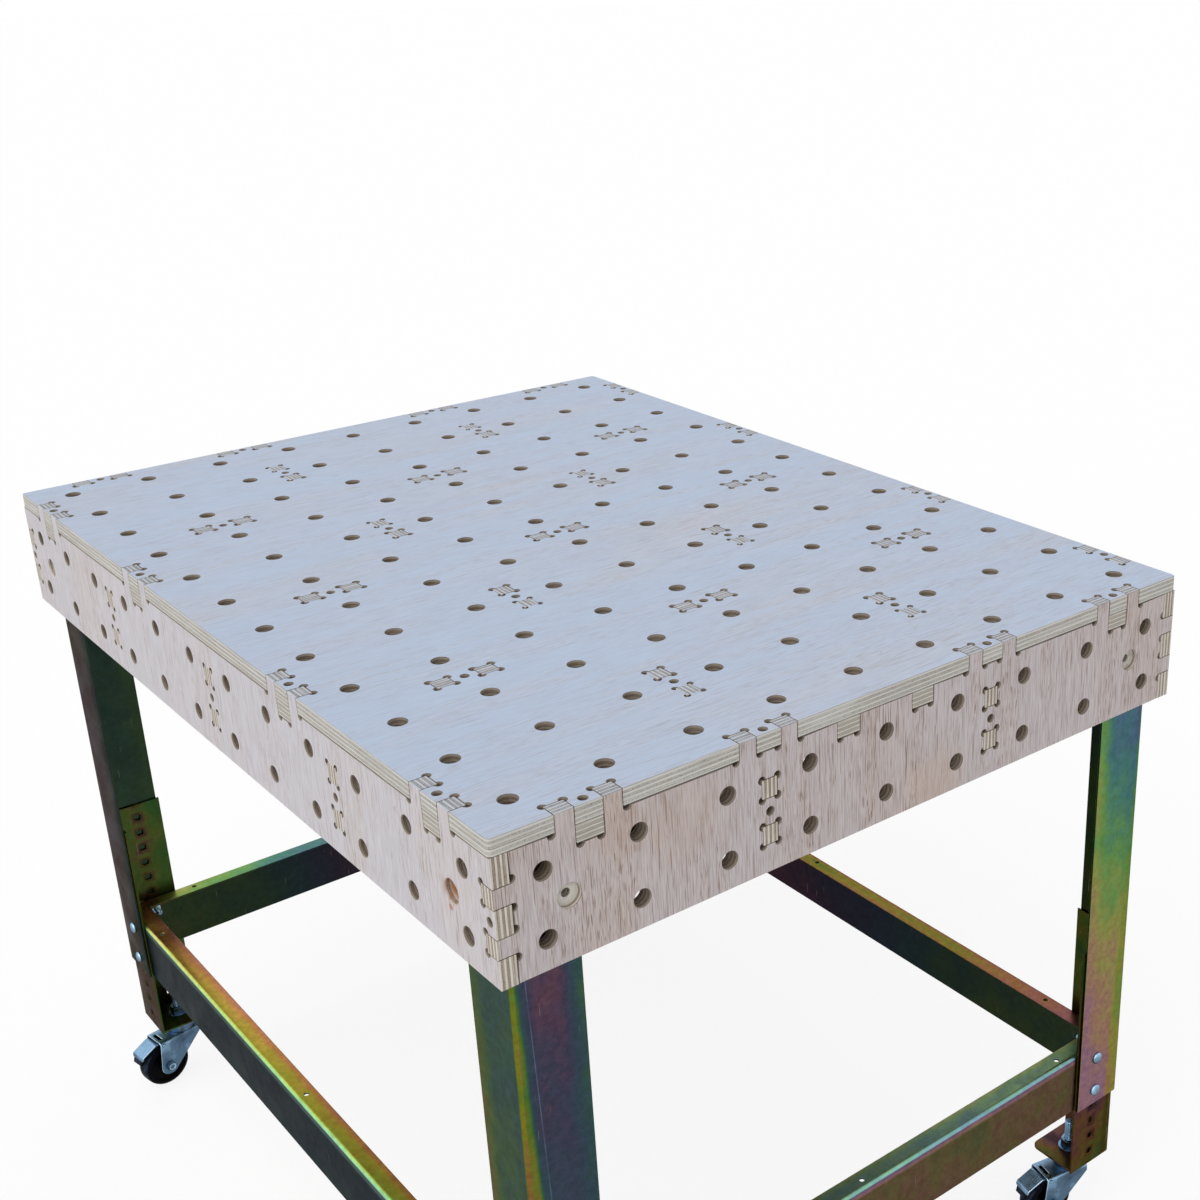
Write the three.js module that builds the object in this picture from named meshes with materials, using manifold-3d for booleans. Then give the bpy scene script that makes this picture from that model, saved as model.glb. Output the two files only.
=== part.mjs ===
// Dog-hole work table. A plywood box top, full of bench-dog holes, stands on four legs of folded
// angle steel. Each leg has a height extension on a braked swivel caster, and four stretchers tie
// the legs together low down. Millimetres, +Z up, +Y to the back, front face towards -Y.
// The origin is on the floor under the middle of the table.
import * as THREE from 'three';
import { mergeGeometries, mergeVertices } from 'three/addons/utils/BufferGeometryUtils.js';
import Module from 'manifold-3d';

const wasm = await Module();
wasm.setup();

// Clearances shared by all pieces
const seatGap = 0.3;
const runningGap = 0.5;
const cutOverrun = 2;

// Plywood box: the dog holes lie on a square lattice, half a pitch in from each edge
const dogPitch = 101.6;
const dogColumns = 9;
const dogRows = 12;
const dogDiameter = 19.05;
const sideRowSpacing = 70;
const plyThickness = 18;
const boxDepth = 152.4;
const skinCornerRadius = 5;
const tenonWidth = 20.3;
const tenonSpacing = 50.8;
const pilotDiameter = 9.5;

// Places along the box in dog pitches from its middle
const shortTabShares = [-3.5, -1.5, 1.5, 3.5];
const longTabShares = [-5, -2, 2, 5];
const longRibShares = [-1.5, 1.5];
const crossRibShares = [-3, 0, 3];
const longRibTenonShares = [-4.5, -1.5, 1.5, 4.5];
const crossRibTenonShares = [-3, 0, 3];
const longEdgeBattenShares = [-3.5, 3.5];
const longCentreBattenShares = [-0.5, 0.5];
const crossEdgeBattenShares = [-5, 5];
const crossCentreBattenShares = [-2, 2];

// Folded steel legs, extensions and stretchers
const steelThickness = 2.7;
const bendInnerRadius = 2.5;
const legFlange = 76.2;
const legLength = 698.5;
const legEndMargin = 21.2;
const footPlateLapShare = 0.8;
const frameBoltInset = 44.45;
const frameBoltSpacing = 50.8;
const extensionHolePitch = 25.4;
const extensionHoleCount = 13;
const extensionHoleWidth = 8.8;
const extensionEndMargin = 21;
const lowBoltHole = 4;
const extensionPlateWidth = 74;
const extensionPlateCorner = 12;
const stretcherWeb = 86.2;
const stretcherTopMargin = 16;
const stretcherFlange = 25.4;
const stretcherHoleDiameter = 6.5;
const longStretcherHoleInset = 133.6;
const crossStretcherHoleInset = 122.2;
const stretcherHoleEdge = 12;

// Carriage bolts through leg, extension and stretcher, each with its nut
const frameBoltDiameter = 7.9;
const frameBoltLength = 31.75;
const frameBoltHeadDiameter = 18;
const frameBoltHeadHeight = 4.4;
const frameNutFlats = 12.7;
const frameNutHeight = 6.7;

// Bolts from inside each leg into the box side, where a counterbore shows outside
const boxBoltInset = 57.15;
const boxBoltDiameter = 6.3;
const boxBoltHeadFlats = 11.1;
const boxBoltHeadHeight = 4.3;
const boxBoltReach = 10;
const boxThreadDepth = 9.5;
const counterboreDiameter = 25;
const counterboreDepth = 6.5;

// Swivel caster with a brake lever over its wheel
const wheelDiameter = 70;
const wheelWidth = 26;
const wheelShoulder = 4;
const wheelHubDiameter = 22;
const wheelDishDepth = 3;
const wheelTreadDepth = 9;
const casterTrail = 36;
const axleDiameter = 7.9;
const axleHeadFlats = 12.7;
const axleHeadHeight = 5;
const axleNutHeight = 4.5;
const forkThickness = 2.5;
const forkSideGap = 4;
const forkTopDrop = 22;
const forkWheelGap = 7.1;
const forkNose = 19;
const forkNoseDrop = 10;
const forkTail = 46;
const forkEndRadius = 14;
const forkSlotLength = 5;
const forkSlotWidth = 18;
const forkSlotInset = 4;
const raceDiameter = 45;
const forkRaceDiameter = 39;
const raceTopDepth = 6;
const raceNeckDiameter = 15;
const rivetDiameter = 21;
const rivetHeight = 2.6;
const forkRaceDepth = 3;
const stemDiameter = 12.7;
const stemLength = 45;
const stemHoleGap = 0.4;
const stemNutFlats = 19;
const stemNutHeight = 11;
const stemWasherDiameter = 28;
const stemWasherThickness = 2.2;
const leverWidth = 28;
const leverThickness = 2.2;
const leverPinDiameter = 4.4;
const leverPinOff = 4.5;
const leverPinDegrees = 7.3;
const leverPinReach = 1;
const leverTravelDegrees = 8;
const padWidth = 22;
const padStartShare = 0.48;
const padWheelGap = 1;

// Places of the brake lever: how far off the tread, as a share of the wheel's radius, and how far
// round the wheel from its top
const leverCrest = { offShare: 0.29, degrees: 19.4 };
const leverEnd = { offShare: 0.41, degrees: 50.3 };
const leverLip = { offShare: 0.275, degrees: 66.8 };

// How each caster stands about its stem
const swivelDegrees = { frontLeft: 205, frontRight: 168, backRight: 350, backLeft: 190 };

// Facets on round pieces
const dogSides = 6;
const pilotSides = 6;
const boltSides = 8;
const hexSides = 6;
const casterSides = 12;
const wheelSides = 16;
const bendSteps = 2;

// Finishes
const plywood = { color: 0xc9bfb2, roughness: 0.72, metalness: 0 };
const plywoodTop = { color: 0xd6d8da, roughness: 0.6, metalness: 0 };
const battenWood = { color: 0xc2ad8c, roughness: 0.75, metalness: 0 };
const passivatedSteel = { color: 0x7d7a4a, roughness: 0.35, metalness: 0.9 };
const brightZinc = { color: 0xa9b8c6, roughness: 0.3, metalness: 0.95 };
const blackTread = { color: 0x14151a, roughness: 0.55, metalness: 0 };

// Main places worked out from the sizes above
const halfWidth = dogColumns * dogPitch / 2;
const halfLength = dogRows * dogPitch / 2;
const casterHeight = forkTopDrop + forkThickness + forkWheelGap + wheelDiameter;
const extensionBottom = casterHeight;
const lowBoltZ = extensionBottom + extensionEndMargin + lowBoltHole * extensionHolePitch;
const highBoltZ = lowBoltZ + frameBoltSpacing;
const extensionLength = 2 * extensionEndMargin + (extensionHoleCount - 1) * extensionHolePitch;
const legBottom = lowBoltZ - legEndMargin;
const legTop = legBottom + legLength;
const battenBottom = legTop + seatGap;
const battenTop = battenBottom + plyThickness;
const skinBottom = battenTop + seatGap;
const tableTop = skinBottom + plyThickness;
const boxBottom = tableTop - boxDepth;
const panelTop = skinBottom - seatGap;
const sideMiddle = (boxBottom + skinBottom) / 2;
const bendOuterRadius = bendInnerRadius + steelThickness;
const legOffset = plyThickness + seatGap;
const layerStep = steelThickness + seatGap;
const stretcherOffset = legOffset + 2 * layerStep;
const webTop = highBoltZ + stretcherTopMargin;
const axleDrop = casterHeight - wheelDiameter / 2;
const forkRaceTopDrop = raceTopDepth + runningGap;
const forkInnerHalf = wheelWidth / 2 + forkSideGap;
const forkOuterHalf = forkInnerHalf + forkThickness;

// A batten fills the space between two tabs
const battenWidth = tenonSpacing - tenonWidth - 2 * seatGap;

const table = new THREE.Group();

// Each corner has a name and the signs of its x and y
const corners = {
  frontLeft: { node: 'front_left', x: -1, y: -1 },
  frontRight: { node: 'front_right', x: 1, y: -1 },
  backRight: { node: 'back_right', x: 1, y: 1 },
  backLeft: { node: 'back_left', x: -1, y: 1 },
};

// Adds one named mesh to a group
function addMesh(parent, name, geometry, finish) {
  const mesh = new THREE.Mesh(geometry, new THREE.MeshStandardMaterial(finish));
  mesh.name = name;
  parent.add(mesh);
}

// Turns a closed geometry into a solid that can be joined and cut
function solid(geometry) {
  const bare = geometry.clone();
  bare.deleteAttribute('normal');
  bare.deleteAttribute('uv');
  const merged = mergeVertices(bare);
  const vertProperties = new Float32Array(merged.attributes.position.array);
  const triVerts = new Uint32Array(merged.index.array);
  return new wasm.Manifold(new wasm.Mesh({ numProp: 3, vertProperties, triVerts }));
}

// Joins the first list of geometries and cuts the second list out of the result
function joinAndCut(joined, cutters) {
  let body = solid(joined[0]);
  for (const geometry of joined.slice(1)) {
    body = body.add(solid(geometry));
  }
  for (const geometry of cutters) {
    body = body.subtract(solid(geometry));
  }
  const mesh = body.getMesh();
  const result = new THREE.BufferGeometry();
  const positions = new THREE.BufferAttribute(new Float32Array(mesh.vertProperties), 3);
  result.setAttribute('position', positions);
  result.setIndex(new THREE.BufferAttribute(new Uint32Array(mesh.triVerts), 1));
  return result;
}

// Puts separate closed pieces into one geometry
function gather(pieces) {
  const bare = pieces.map((piece) => {
    const copy = piece.index ? piece.toNonIndexed() : piece.clone();
    copy.deleteAttribute('normal');
    copy.deleteAttribute('uv');
    return copy;
  });
  return mergeGeometries(bare);
}

// A box between two values on each axis, given in either order
function boxBetween(x, y, z) {
  const size = [x, y, z].map((pair) => Math.abs(pair[1] - pair[0]));
  const middle = [x, y, z].map((pair) => (pair[0] + pair[1]) / 2);
  return new THREE.BoxGeometry(...size).translate(...middle);
}

// A prism with flat-to-flat width across, along Z from low to high
function prism(across, sides, low, high) {
  const radius = across / 2 / Math.cos(Math.PI / sides);
  const bar = new THREE.CylinderGeometry(radius, radius, high - low, sides);
  return bar.rotateX(Math.PI / 2).rotateZ(Math.PI / sides).translate(0, 0, (low + high) / 2);
}

// Turns a piece made along +Z to point along a direction, then moves it to a place
function aim(geometry, direction, place) {
  const turn = new THREE.Quaternion().setFromUnitVectors(new THREE.Vector3(0, 0, 1), direction);
  return geometry.applyQuaternion(turn).translate(place.x, place.y, place.z);
}

// A flat plate from an outline: the outline lies in the named plane, the plate fills low to high
function plate(plane, outline, low, high) {
  const settings = { depth: high - low, bevelEnabled: false };
  const geometry = new THREE.ExtrudeGeometry(outline, settings);
  if (plane === 'xy') {
    return geometry.translate(0, 0, low);
  }
  geometry.rotateX(Math.PI / 2);
  if (plane === 'xz') {
    return geometry.translate(0, high, 0);
  }
  return geometry.rotateZ(Math.PI / 2).translate(low, 0, 0);
}

// A flat plate with holes through it and further pockets cut into it
function piercedPlate(plane, outline, holes, low, high, pockets = []) {
  const cutters = holes.map((hole) => plate(plane, hole, low - cutOverrun, high + cutOverrun));
  return joinAndCut([plate(plane, outline, low, high)], [gather(cutters), ...pockets]);
}

// The points of one edge feature: a tab stands out of the edge, a notch goes in
function featurePoints(feature, place) {
  const near = feature.at - feature.width / 2;
  const far = feature.at + feature.width / 2;
  return [place(near, 0), place(near, feature.out), place(far, feature.out), place(far, 0)];
}

// A rectangle with tabs and notches on its edges and, if wanted, rounded corners
function tabbedOutline(low, high, edges, cornerRadius = 0) {
  const sides = [
    { list: edges.bottom, order: 1, place: (along, out) => [along, low[1] - out] },
    { list: edges.right, order: 1, place: (along, out) => [high[0] + out, along] },
    { list: edges.top, order: -1, place: (along, out) => [along, high[1] + out] },
    { list: edges.left, order: -1, place: (along, out) => [low[0] - out, along] },
  ];
  const ends = [[high[0], low[1]], [high[0], high[1]], [low[0], high[1]], [low[0], low[1]]];
  const points = [];
  sides.forEach((side, index) => {
    const features = [...(side.list ?? [])].sort((a, b) => side.order * (a.at - b.at));
    for (const feature of features) {
      const four = featurePoints(feature, side.place);
      points.push(...(side.order > 0 ? four : four.reverse()));
    }
    points.push(...cornerPoints(ends[index], index, cornerRadius));
  });
  return new THREE.Shape(withoutStraightPoints(points.map((point) => new THREE.Vector2(...point))));
}

// Drops the points of a closed outline where it doesn't turn
function withoutStraightPoints(points) {
  const kept = [];
  points.forEach((point, index) => {
    const before = kept.at(-1) ?? points.at(-1);
    const next = points[(index + 1) % points.length];
    const turn = point.clone().sub(before).cross(next.clone().sub(point));
    if (Math.abs(turn) > Number.EPSILON * halfLength * halfLength) {
      kept.push(point);
    }
  });
  return kept;
}

// The points that round one corner, counted anticlockwise from the lower right one
function cornerPoints(corner, index, radius) {
  if (radius === 0) {
    return [corner];
  }
  const signs = [[-1, 1], [-1, -1], [1, -1], [1, 1]][index];
  const centre = [corner[0] + signs[0] * radius, corner[1] + signs[1] * radius];
  const start = (index - 1) * Math.PI / 2;
  const steps = [...Array(bendSteps + 1).keys()];
  return steps.map((step) => {
    const angle = start + step / bendSteps * Math.PI / 2;
    return [centre[0] + radius * Math.cos(angle), centre[1] + radius * Math.sin(angle)];
  });
}

// A many-sided hole whose flats touch the true round hole
function roundHole(x, y, diameter, sides) {
  const radius = diameter / 2 / Math.cos(Math.PI / sides);
  const turns = [...Array(sides).keys()].map((side) => (side + 0.5) / sides * 2 * Math.PI);
  return new THREE.Shape(turns.map((turn) => (
    new THREE.Vector2(x + radius * Math.cos(turn), y + radius * Math.sin(turn)))));
}

// A rectangular hole round a middle point
function squareHole(x, y, width, height) {
  return new THREE.Shape([
    new THREE.Vector2(x - width / 2, y - height / 2),
    new THREE.Vector2(x + width / 2, y - height / 2),
    new THREE.Vector2(x + width / 2, y + height / 2),
    new THREE.Vector2(x - width / 2, y + height / 2),
  ]);
}

// Dog-hole places along one side, from the middle out
function dogPlaces(count) {
  return [...Array(count).keys()].map((index) => (index - (count - 1) / 2) * dogPitch);
}

// Places in millimetres from a list in dog pitches
function places(shares) {
  return shares.map((share) => share * dogPitch);
}

// The two middles of each tenon pair
function pairPlaces(middles) {
  return middles.flatMap((middle) => [middle - tenonSpacing / 2, middle + tenonSpacing / 2]);
}

// Edge features of one width and reach at a list of places
function features(list, width, out) {
  return list.map((at) => ({ at, width, out }));
}

const longBattenPlaces = places([...longEdgeBattenShares, ...longCentreBattenShares]);
const crossBattenPlaces = places([...crossEdgeBattenShares, ...crossCentreBattenShares]);
const tabRise = tableTop - panelTop;
const battenNotch = panelTop - battenBottom + seatGap;
const fingerPlaces = pairPlaces([sideMiddle]);

// The top skin: dog holes, rib mortises, edge notches for the tabs and pilot holes between pairs
function topSkin() {
  const notchWidth = tenonWidth + 2 * seatGap;
  const notchDepth = -(plyThickness + seatGap);
  const shortNotches = features(pairPlaces(places(shortTabShares)), notchWidth, notchDepth);
  const longNotches = features(pairPlaces(places(longTabShares)), notchWidth, notchDepth);
  const edges = { bottom: shortNotches, top: shortNotches, left: longNotches, right: longNotches };
  const outline = tabbedOutline(
    [-halfWidth, -halfLength], [halfWidth, halfLength], edges, skinCornerRadius);
  const holes = [];
  for (const x of dogPlaces(dogColumns)) {
    for (const y of dogPlaces(dogRows)) {
      holes.push(roundHole(x, y, dogDiameter, dogSides));
    }
  }
  const slotWidth = plyThickness + 2 * seatGap;
  for (const x of places(longRibShares)) {
    for (const y of pairPlaces(places(longRibTenonShares))) {
      holes.push(squareHole(x, y, slotWidth, notchWidth));
    }
    for (const y of places(longRibTenonShares)) {
      holes.push(roundHole(x, y, pilotDiameter, pilotSides));
    }
  }
  for (const y of places(crossRibShares)) {
    for (const x of pairPlaces(places(crossRibTenonShares))) {
      holes.push(squareHole(x, y, notchWidth, slotWidth));
    }
    for (const x of places(crossRibTenonShares)) {
      holes.push(roundHole(x, y, pilotDiameter, pilotSides));
    }
  }
  for (const side of [-1, 1]) {
    for (const x of places(shortTabShares)) {
      const y = side * (halfLength - plyThickness / 2);
      holes.push(roundHole(x, y, pilotDiameter, pilotSides));
    }
    for (const y of places(longTabShares)) {
      const x = side * (halfWidth - plyThickness / 2);
      holes.push(roundHole(x, y, pilotDiameter, pilotSides));
    }
  }
  return piercedPlate('xy', outline, holes, skinBottom, tableTop);
}

// Dog holes, rib mortises and pilot holes in one side of the box
function sideHoles(dogCount, ribPlaces) {
  const holes = [];
  for (const along of dogPlaces(dogCount)) {
    for (const row of [-1, 1]) {
      const z = sideMiddle + row * sideRowSpacing / 2;
      holes.push(roundHole(along, z, dogDiameter, dogSides));
    }
  }
  for (const along of ribPlaces) {
    for (const z of fingerPlaces) {
      const width = plyThickness + 2 * seatGap;
      const height = tenonWidth + 2 * seatGap;
      holes.push(squareHole(along, z, width, height));
    }
    holes.push(roundHole(along, sideMiddle, pilotDiameter, pilotSides));
  }
  return holes;
}

// The cutters for one bolt of a leg, made along +Z with z zero on the panel's outer face: a
// counterbore, an empty hole behind its floor and the threaded hole from inside
function boxBoltPockets() {
  return [
    prism(counterboreDiameter, casterSides, -counterboreDepth, cutOverrun),
    prism(pilotDiameter, boltSides, boxThreadDepth - plyThickness, cutOverrun),
    prism(boxBoltDiameter + 2 * seatGap, boltSides, -plyThickness - cutOverrun, 0),
  ];
}

// Front and back panels: fingers reach through the end panels
function endPanel(side) {
  const half = halfWidth - plyThickness - seatGap;
  const fingers = features(fingerPlaces, tenonWidth, halfWidth - half);
  const tabs = features(pairPlaces(places(shortTabShares)), tenonWidth, tabRise);
  const notches = features(longBattenPlaces, battenWidth + 2 * seatGap, -battenNotch);
  const edges = { right: fingers, left: fingers, top: [...tabs, ...notches] };
  const outline = tabbedOutline([-half, boxBottom], [half, panelTop], edges);
  const holes = sideHoles(dogColumns, places(longRibShares));
  const outer = side * halfLength;
  const inner = side * (halfLength - plyThickness);
  const outward = new THREE.Vector3(0, side, 0);
  const boltPlace = halfWidth - legOffset - boxBoltInset;
  const pockets = [-1, 1].flatMap((end) => boxBoltPockets().map((pocket) => (
    aim(pocket, outward, new THREE.Vector3(end * boltPlace, outer, sideMiddle)))));
  return piercedPlate(
    'xz', outline, holes, Math.min(outer, inner), Math.max(outer, inner), pockets);
}

// Left and right panels: notched for the fingers of the front and back panels
function longPanel(side) {
  const fingerNotches = features(
    fingerPlaces, tenonWidth + 2 * seatGap, -(plyThickness + seatGap));
  const tabs = features(pairPlaces(places(longTabShares)), tenonWidth, tabRise);
  const notches = features(crossBattenPlaces, battenWidth + 2 * seatGap, -battenNotch);
  const edges = { right: fingerNotches, left: fingerNotches, top: [...tabs, ...notches] };
  const outline = tabbedOutline([-halfLength, boxBottom], [halfLength, panelTop], edges);
  const holes = sideHoles(dogRows, places(crossRibShares));
  for (const end of [-1, 1]) {
    const along = end * (halfLength - plyThickness / 2);
    holes.push(roundHole(along, sideMiddle, pilotDiameter, pilotSides));
  }
  const outer = side * halfWidth;
  const inner = side * (halfWidth - plyThickness);
  const outward = new THREE.Vector3(side, 0, 0);
  const boltPlace = halfLength - legOffset - boxBoltInset;
  const pockets = [-1, 1].flatMap((end) => boxBoltPockets().map((pocket) => (
    aim(pocket, outward, new THREE.Vector3(outer, end * boltPlace, sideMiddle)))));
  return piercedPlate(
    'yz', outline, holes, Math.min(outer, inner), Math.max(outer, inner), pockets);
}

const lapHeight = (boxBottom + panelTop) / 2;
const lapWidth = plyThickness + 2 * seatGap;

// A rib from front to back, slotted from below where it crosses the other ribs
function longRib(x) {
  const half = halfLength - plyThickness - seatGap;
  const ends = features(fingerPlaces, tenonWidth, halfLength - half);
  const tenons = features(pairPlaces(places(longRibTenonShares)), tenonWidth, tabRise);
  const notches = features(crossBattenPlaces, battenWidth + 2 * seatGap, -battenNotch);
  const laps = features(places(crossRibShares), lapWidth, boxBottom - lapHeight - seatGap / 2);
  const edges = { right: ends, left: ends, top: [...tenons, ...notches], bottom: laps };
  const outline = tabbedOutline([-half, boxBottom], [half, panelTop], edges);
  return plate('yz', outline, x - plyThickness / 2, x + plyThickness / 2);
}

// A rib from left to right, slotted from above where it crosses the other ribs
function crossRib(y) {
  const half = halfWidth - plyThickness - seatGap;
  const ends = features(fingerPlaces, tenonWidth, halfWidth - half);
  const tenons = features(pairPlaces(places(crossRibTenonShares)), tenonWidth, tabRise);
  const notches = features(longBattenPlaces, battenWidth + 2 * seatGap, -battenNotch);
  const laps = features(places(longRibShares), lapWidth, lapHeight - panelTop - seatGap / 2);
  const edges = { right: ends, left: ends, top: [...tenons, ...notches, ...laps] };
  const outline = tabbedOutline([-half, boxBottom], [half, panelTop], edges);
  return plate('xz', outline, y - plyThickness / 2, y + plyThickness / 2);
}

const battenLap = (plyThickness + seatGap) / 2;
const battenLapWidth = battenWidth + 2 * seatGap;

// A flat batten under the skin from front to back, halved from below at each crossing
function longBatten(x) {
  const laps = features(crossBattenPlaces, battenLapWidth, -battenLap);
  const outline = tabbedOutline(
    [-halfLength, battenBottom], [halfLength, battenTop], { bottom: laps });
  return plate('yz', outline, x - battenWidth / 2, x + battenWidth / 2);
}

// A flat batten under the skin from left to right, halved from above at each crossing
function crossBatten(y) {
  const laps = features(longBattenPlaces, battenLapWidth, -battenLap);
  const outline = tabbedOutline(
    [-halfWidth, battenBottom], [halfWidth, battenTop], { top: laps });
  return plate('xz', outline, y - battenWidth / 2, y + battenWidth / 2);
}

// The outline of a folded angle: its outer corner is at the origin, its flanges run along +x and +y
function angleOutline(flange) {
  const path = new THREE.Shape();
  path.moveTo(flange, 0);
  path.lineTo(flange, steelThickness);
  path.lineTo(bendOuterRadius, steelThickness);
  path.absarc(bendOuterRadius, bendOuterRadius, bendInnerRadius, -Math.PI / 2, Math.PI, true);
  path.lineTo(steelThickness, flange);
  path.lineTo(0, flange);
  path.lineTo(0, bendOuterRadius);
  path.absarc(bendOuterRadius, bendOuterRadius, bendOuterRadius, Math.PI, 3 * Math.PI / 2, false);
  return path.getPoints(bendSteps);
}

// Turns distances in from the outer faces of the box at one corner into x and y
function cornerPoint(corner, inX, inY) {
  return [corner.x * (halfWidth - inX), corner.y * (halfLength - inY)];
}

// A folded angle standing in one corner, a given distance in from the outer faces
function standingAngle(corner, offset, low, high) {
  const points = angleOutline(legFlange).map((point) => (
    new THREE.Vector2(...cornerPoint(corner, offset + point.x, offset + point.y))));
  return plate('xy', new THREE.Shape(points), low, high);
}

// A square hole through either flange of a standing angle
function flangeCutters(corner, offset, inset, z, width) {
  const depth = [offset - cutOverrun, offset + steelThickness + cutOverrun];
  const span = [offset + inset - width / 2, offset + inset + width / 2];
  return [[depth, span], [span, depth]].map(([inX, inY]) => {
    const [x0, y0] = cornerPoint(corner, inX[0], inY[0]);
    const [x1, y1] = cornerPoint(corner, inX[1], inY[1]);
    return boxBetween([x0, x1], [y0, y1], [z - width / 2, z + width / 2]);
  });
}

// Makes a piece outwards from both flanges of one leg: its z zero is the leg's outer face
function onLegFaces(corner, maker, heights, inset) {
  return heights.flatMap((z) => {
    const [faceX, alongY] = cornerPoint(corner, legOffset, legOffset + inset);
    const [alongX, faceY] = cornerPoint(corner, legOffset + inset, legOffset);
    return [
      aim(maker(), new THREE.Vector3(corner.x, 0, 0), new THREE.Vector3(faceX, alongY, z)),
      aim(maker(), new THREE.Vector3(0, corner.y, 0), new THREE.Vector3(alongX, faceY, z)),
    ];
  });
}

// The dome head of a carriage bolt, which starts inside the leg's flange
function frameBoltHead() {
  const radius = frameBoltHeadDiameter / 2;
  return new THREE.LatheGeometry([
    new THREE.Vector2(0, -steelThickness / 2),
    new THREE.Vector2(radius, -steelThickness / 2),
    new THREE.Vector2(radius, 0),
    new THREE.Vector2(radius * Math.SQRT1_2, frameBoltHeadHeight * Math.SQRT1_2),
    new THREE.Vector2(0, frameBoltHeadHeight),
  ], boltSides).rotateX(Math.PI / 2);
}

// A hex bolt from inside the leg into the box side
function boxBoltShank() {
  return prism(boxBoltDiameter, boltSides, -steelThickness / 2, boxBoltReach);
}

function boxBoltHead() {
  return prism(boxBoltHeadFlats, hexSides, -steelThickness - boxBoltHeadHeight, -steelThickness / 2);
}

// One leg with the bolts that it holds: four carriage bolt heads and two box bolts
function leg(corner) {
  const bar = standingAngle(corner, legOffset, legBottom, legTop);
  const heads = onLegFaces(corner, frameBoltHead, [lowBoltZ, highBoltZ], frameBoltInset);
  const shanks = onLegFaces(corner, boxBoltShank, [sideMiddle], boxBoltInset);
  const boxHeads = onLegFaces(corner, boxBoltHead, [sideMiddle], boxBoltInset);
  return joinAndCut([bar, ...heads, ...shanks, ...boxHeads], []);
}

// The outline of the extension's floor plate, its free corner rounded
function footPlate(corner, offset) {
  const near = offset + steelThickness * footPlateLapShare;
  const far = offset + extensionPlateWidth;
  const round = far - extensionPlateCorner;
  const path = new THREE.Shape();
  path.moveTo(near, near);
  path.lineTo(far, near);
  path.lineTo(far, round);
  path.absarc(round, round, extensionPlateCorner, 0, Math.PI / 2, false);
  path.lineTo(near, far);
  const points = path.getPoints(bendSteps).map((point) => (
    new THREE.Vector2(...cornerPoint(corner, point.x, point.y))));
  return plate('xy', new THREE.Shape(points), extensionBottom, extensionBottom + steelThickness);
}

const stemInset = legOffset + layerStep + legFlange / 2;

// The height extension inside one leg: a row of square holes up each flange and a floor plate
function extension(corner) {
  const offset = legOffset + layerStep;
  const bar = standingAngle(corner, offset, extensionBottom, extensionBottom + extensionLength);
  const rows = [...Array(extensionHoleCount).keys()].flatMap((row) => {
    const z = extensionBottom + extensionEndMargin + row * extensionHolePitch;
    return flangeCutters(corner, offset, frameBoltInset - layerStep, z, extensionHoleWidth);
  });
  const [stemX, stemY] = cornerPoint(corner, stemInset, stemInset);
  const stemHole = prism(
    stemDiameter + 2 * stemHoleGap, casterSides, -cutOverrun, steelThickness + cutOverrun);
  stemHole.translate(stemX, stemY, extensionBottom);
  return joinAndCut([bar, footPlate(corner, offset)], [...rows, stemHole]);
}

// The outline of a stretcher across its run: the web stands outside and the flange turns inwards.
// Distances run in from the outer faces of the box and up from the floor.
function stretcherOutline(side, half) {
  const outer = stretcherOffset;
  const path = new THREE.Shape();
  path.moveTo(outer, webTop - stretcherWeb);
  path.lineTo(outer + steelThickness, webTop - stretcherWeb);
  path.lineTo(outer + steelThickness, webTop - bendOuterRadius);
  path.absarc(outer + bendOuterRadius, webTop - bendOuterRadius, bendInnerRadius,
    Math.PI, Math.PI / 2, true);
  path.lineTo(outer + stretcherFlange, webTop - steelThickness);
  path.lineTo(outer + stretcherFlange, webTop);
  path.lineTo(outer + bendOuterRadius, webTop);
  path.absarc(outer + bendOuterRadius, webTop - bendOuterRadius, bendOuterRadius,
    Math.PI / 2, Math.PI, false);
  const points = path.getPoints(bendSteps).map((point) => (
    new THREE.Vector2(side * (half - point.x), point.y)));
  return new THREE.Shape(points);
}

// Points an axis-wise pair of distances across and along a stretcher at x and y
function alongRun(run, across, along) {
  return run === 'x' ? [along, across] : [across, along];
}

// The holes along the flange of a stretcher that runs along x or y
function flangeHoles(run, side, half, endInset, runHalf) {
  const line = side * (half - stretcherOffset - stretcherHoleEdge);
  const end = runHalf - endInset;
  return [-end, 0, end].map((along) => {
    const hole = prism(stretcherHoleDiameter, pilotSides, webTop - steelThickness - cutOverrun,
      webTop + cutOverrun);
    return hole.translate(...alongRun(run, line, along), 0);
  });
}

// The threaded tail of a carriage bolt and its nut, z zero on the leg's outer face
function frameBoltTail() {
  const webMiddle = -2 * layerStep - steelThickness / 2;
  return prism(frameBoltDiameter, boltSides, -frameBoltLength, webMiddle);
}

function frameBoltNut() {
  const webMiddle = -2 * layerStep - steelThickness / 2;
  return prism(frameNutFlats, hexSides, webMiddle - steelThickness / 2 - frameNutHeight, webMiddle);
}

// The bolt tails and nuts that a stretcher holds, two near each end
function stretcherBolts(run, side, half, runHalf) {
  const outward = new THREE.Vector3(...alongRun(run, side, 0), 0);
  const across = side * (half - legOffset);
  const boltPlace = runHalf - legOffset - frameBoltInset;
  return [-boltPlace, boltPlace].flatMap((along) => [lowBoltZ, highBoltZ].flatMap((z) => {
    const place = new THREE.Vector3(...alongRun(run, across, along), z);
    return [frameBoltTail, frameBoltNut].map((maker) => aim(maker(), outward, place));
  }));
}

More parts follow.
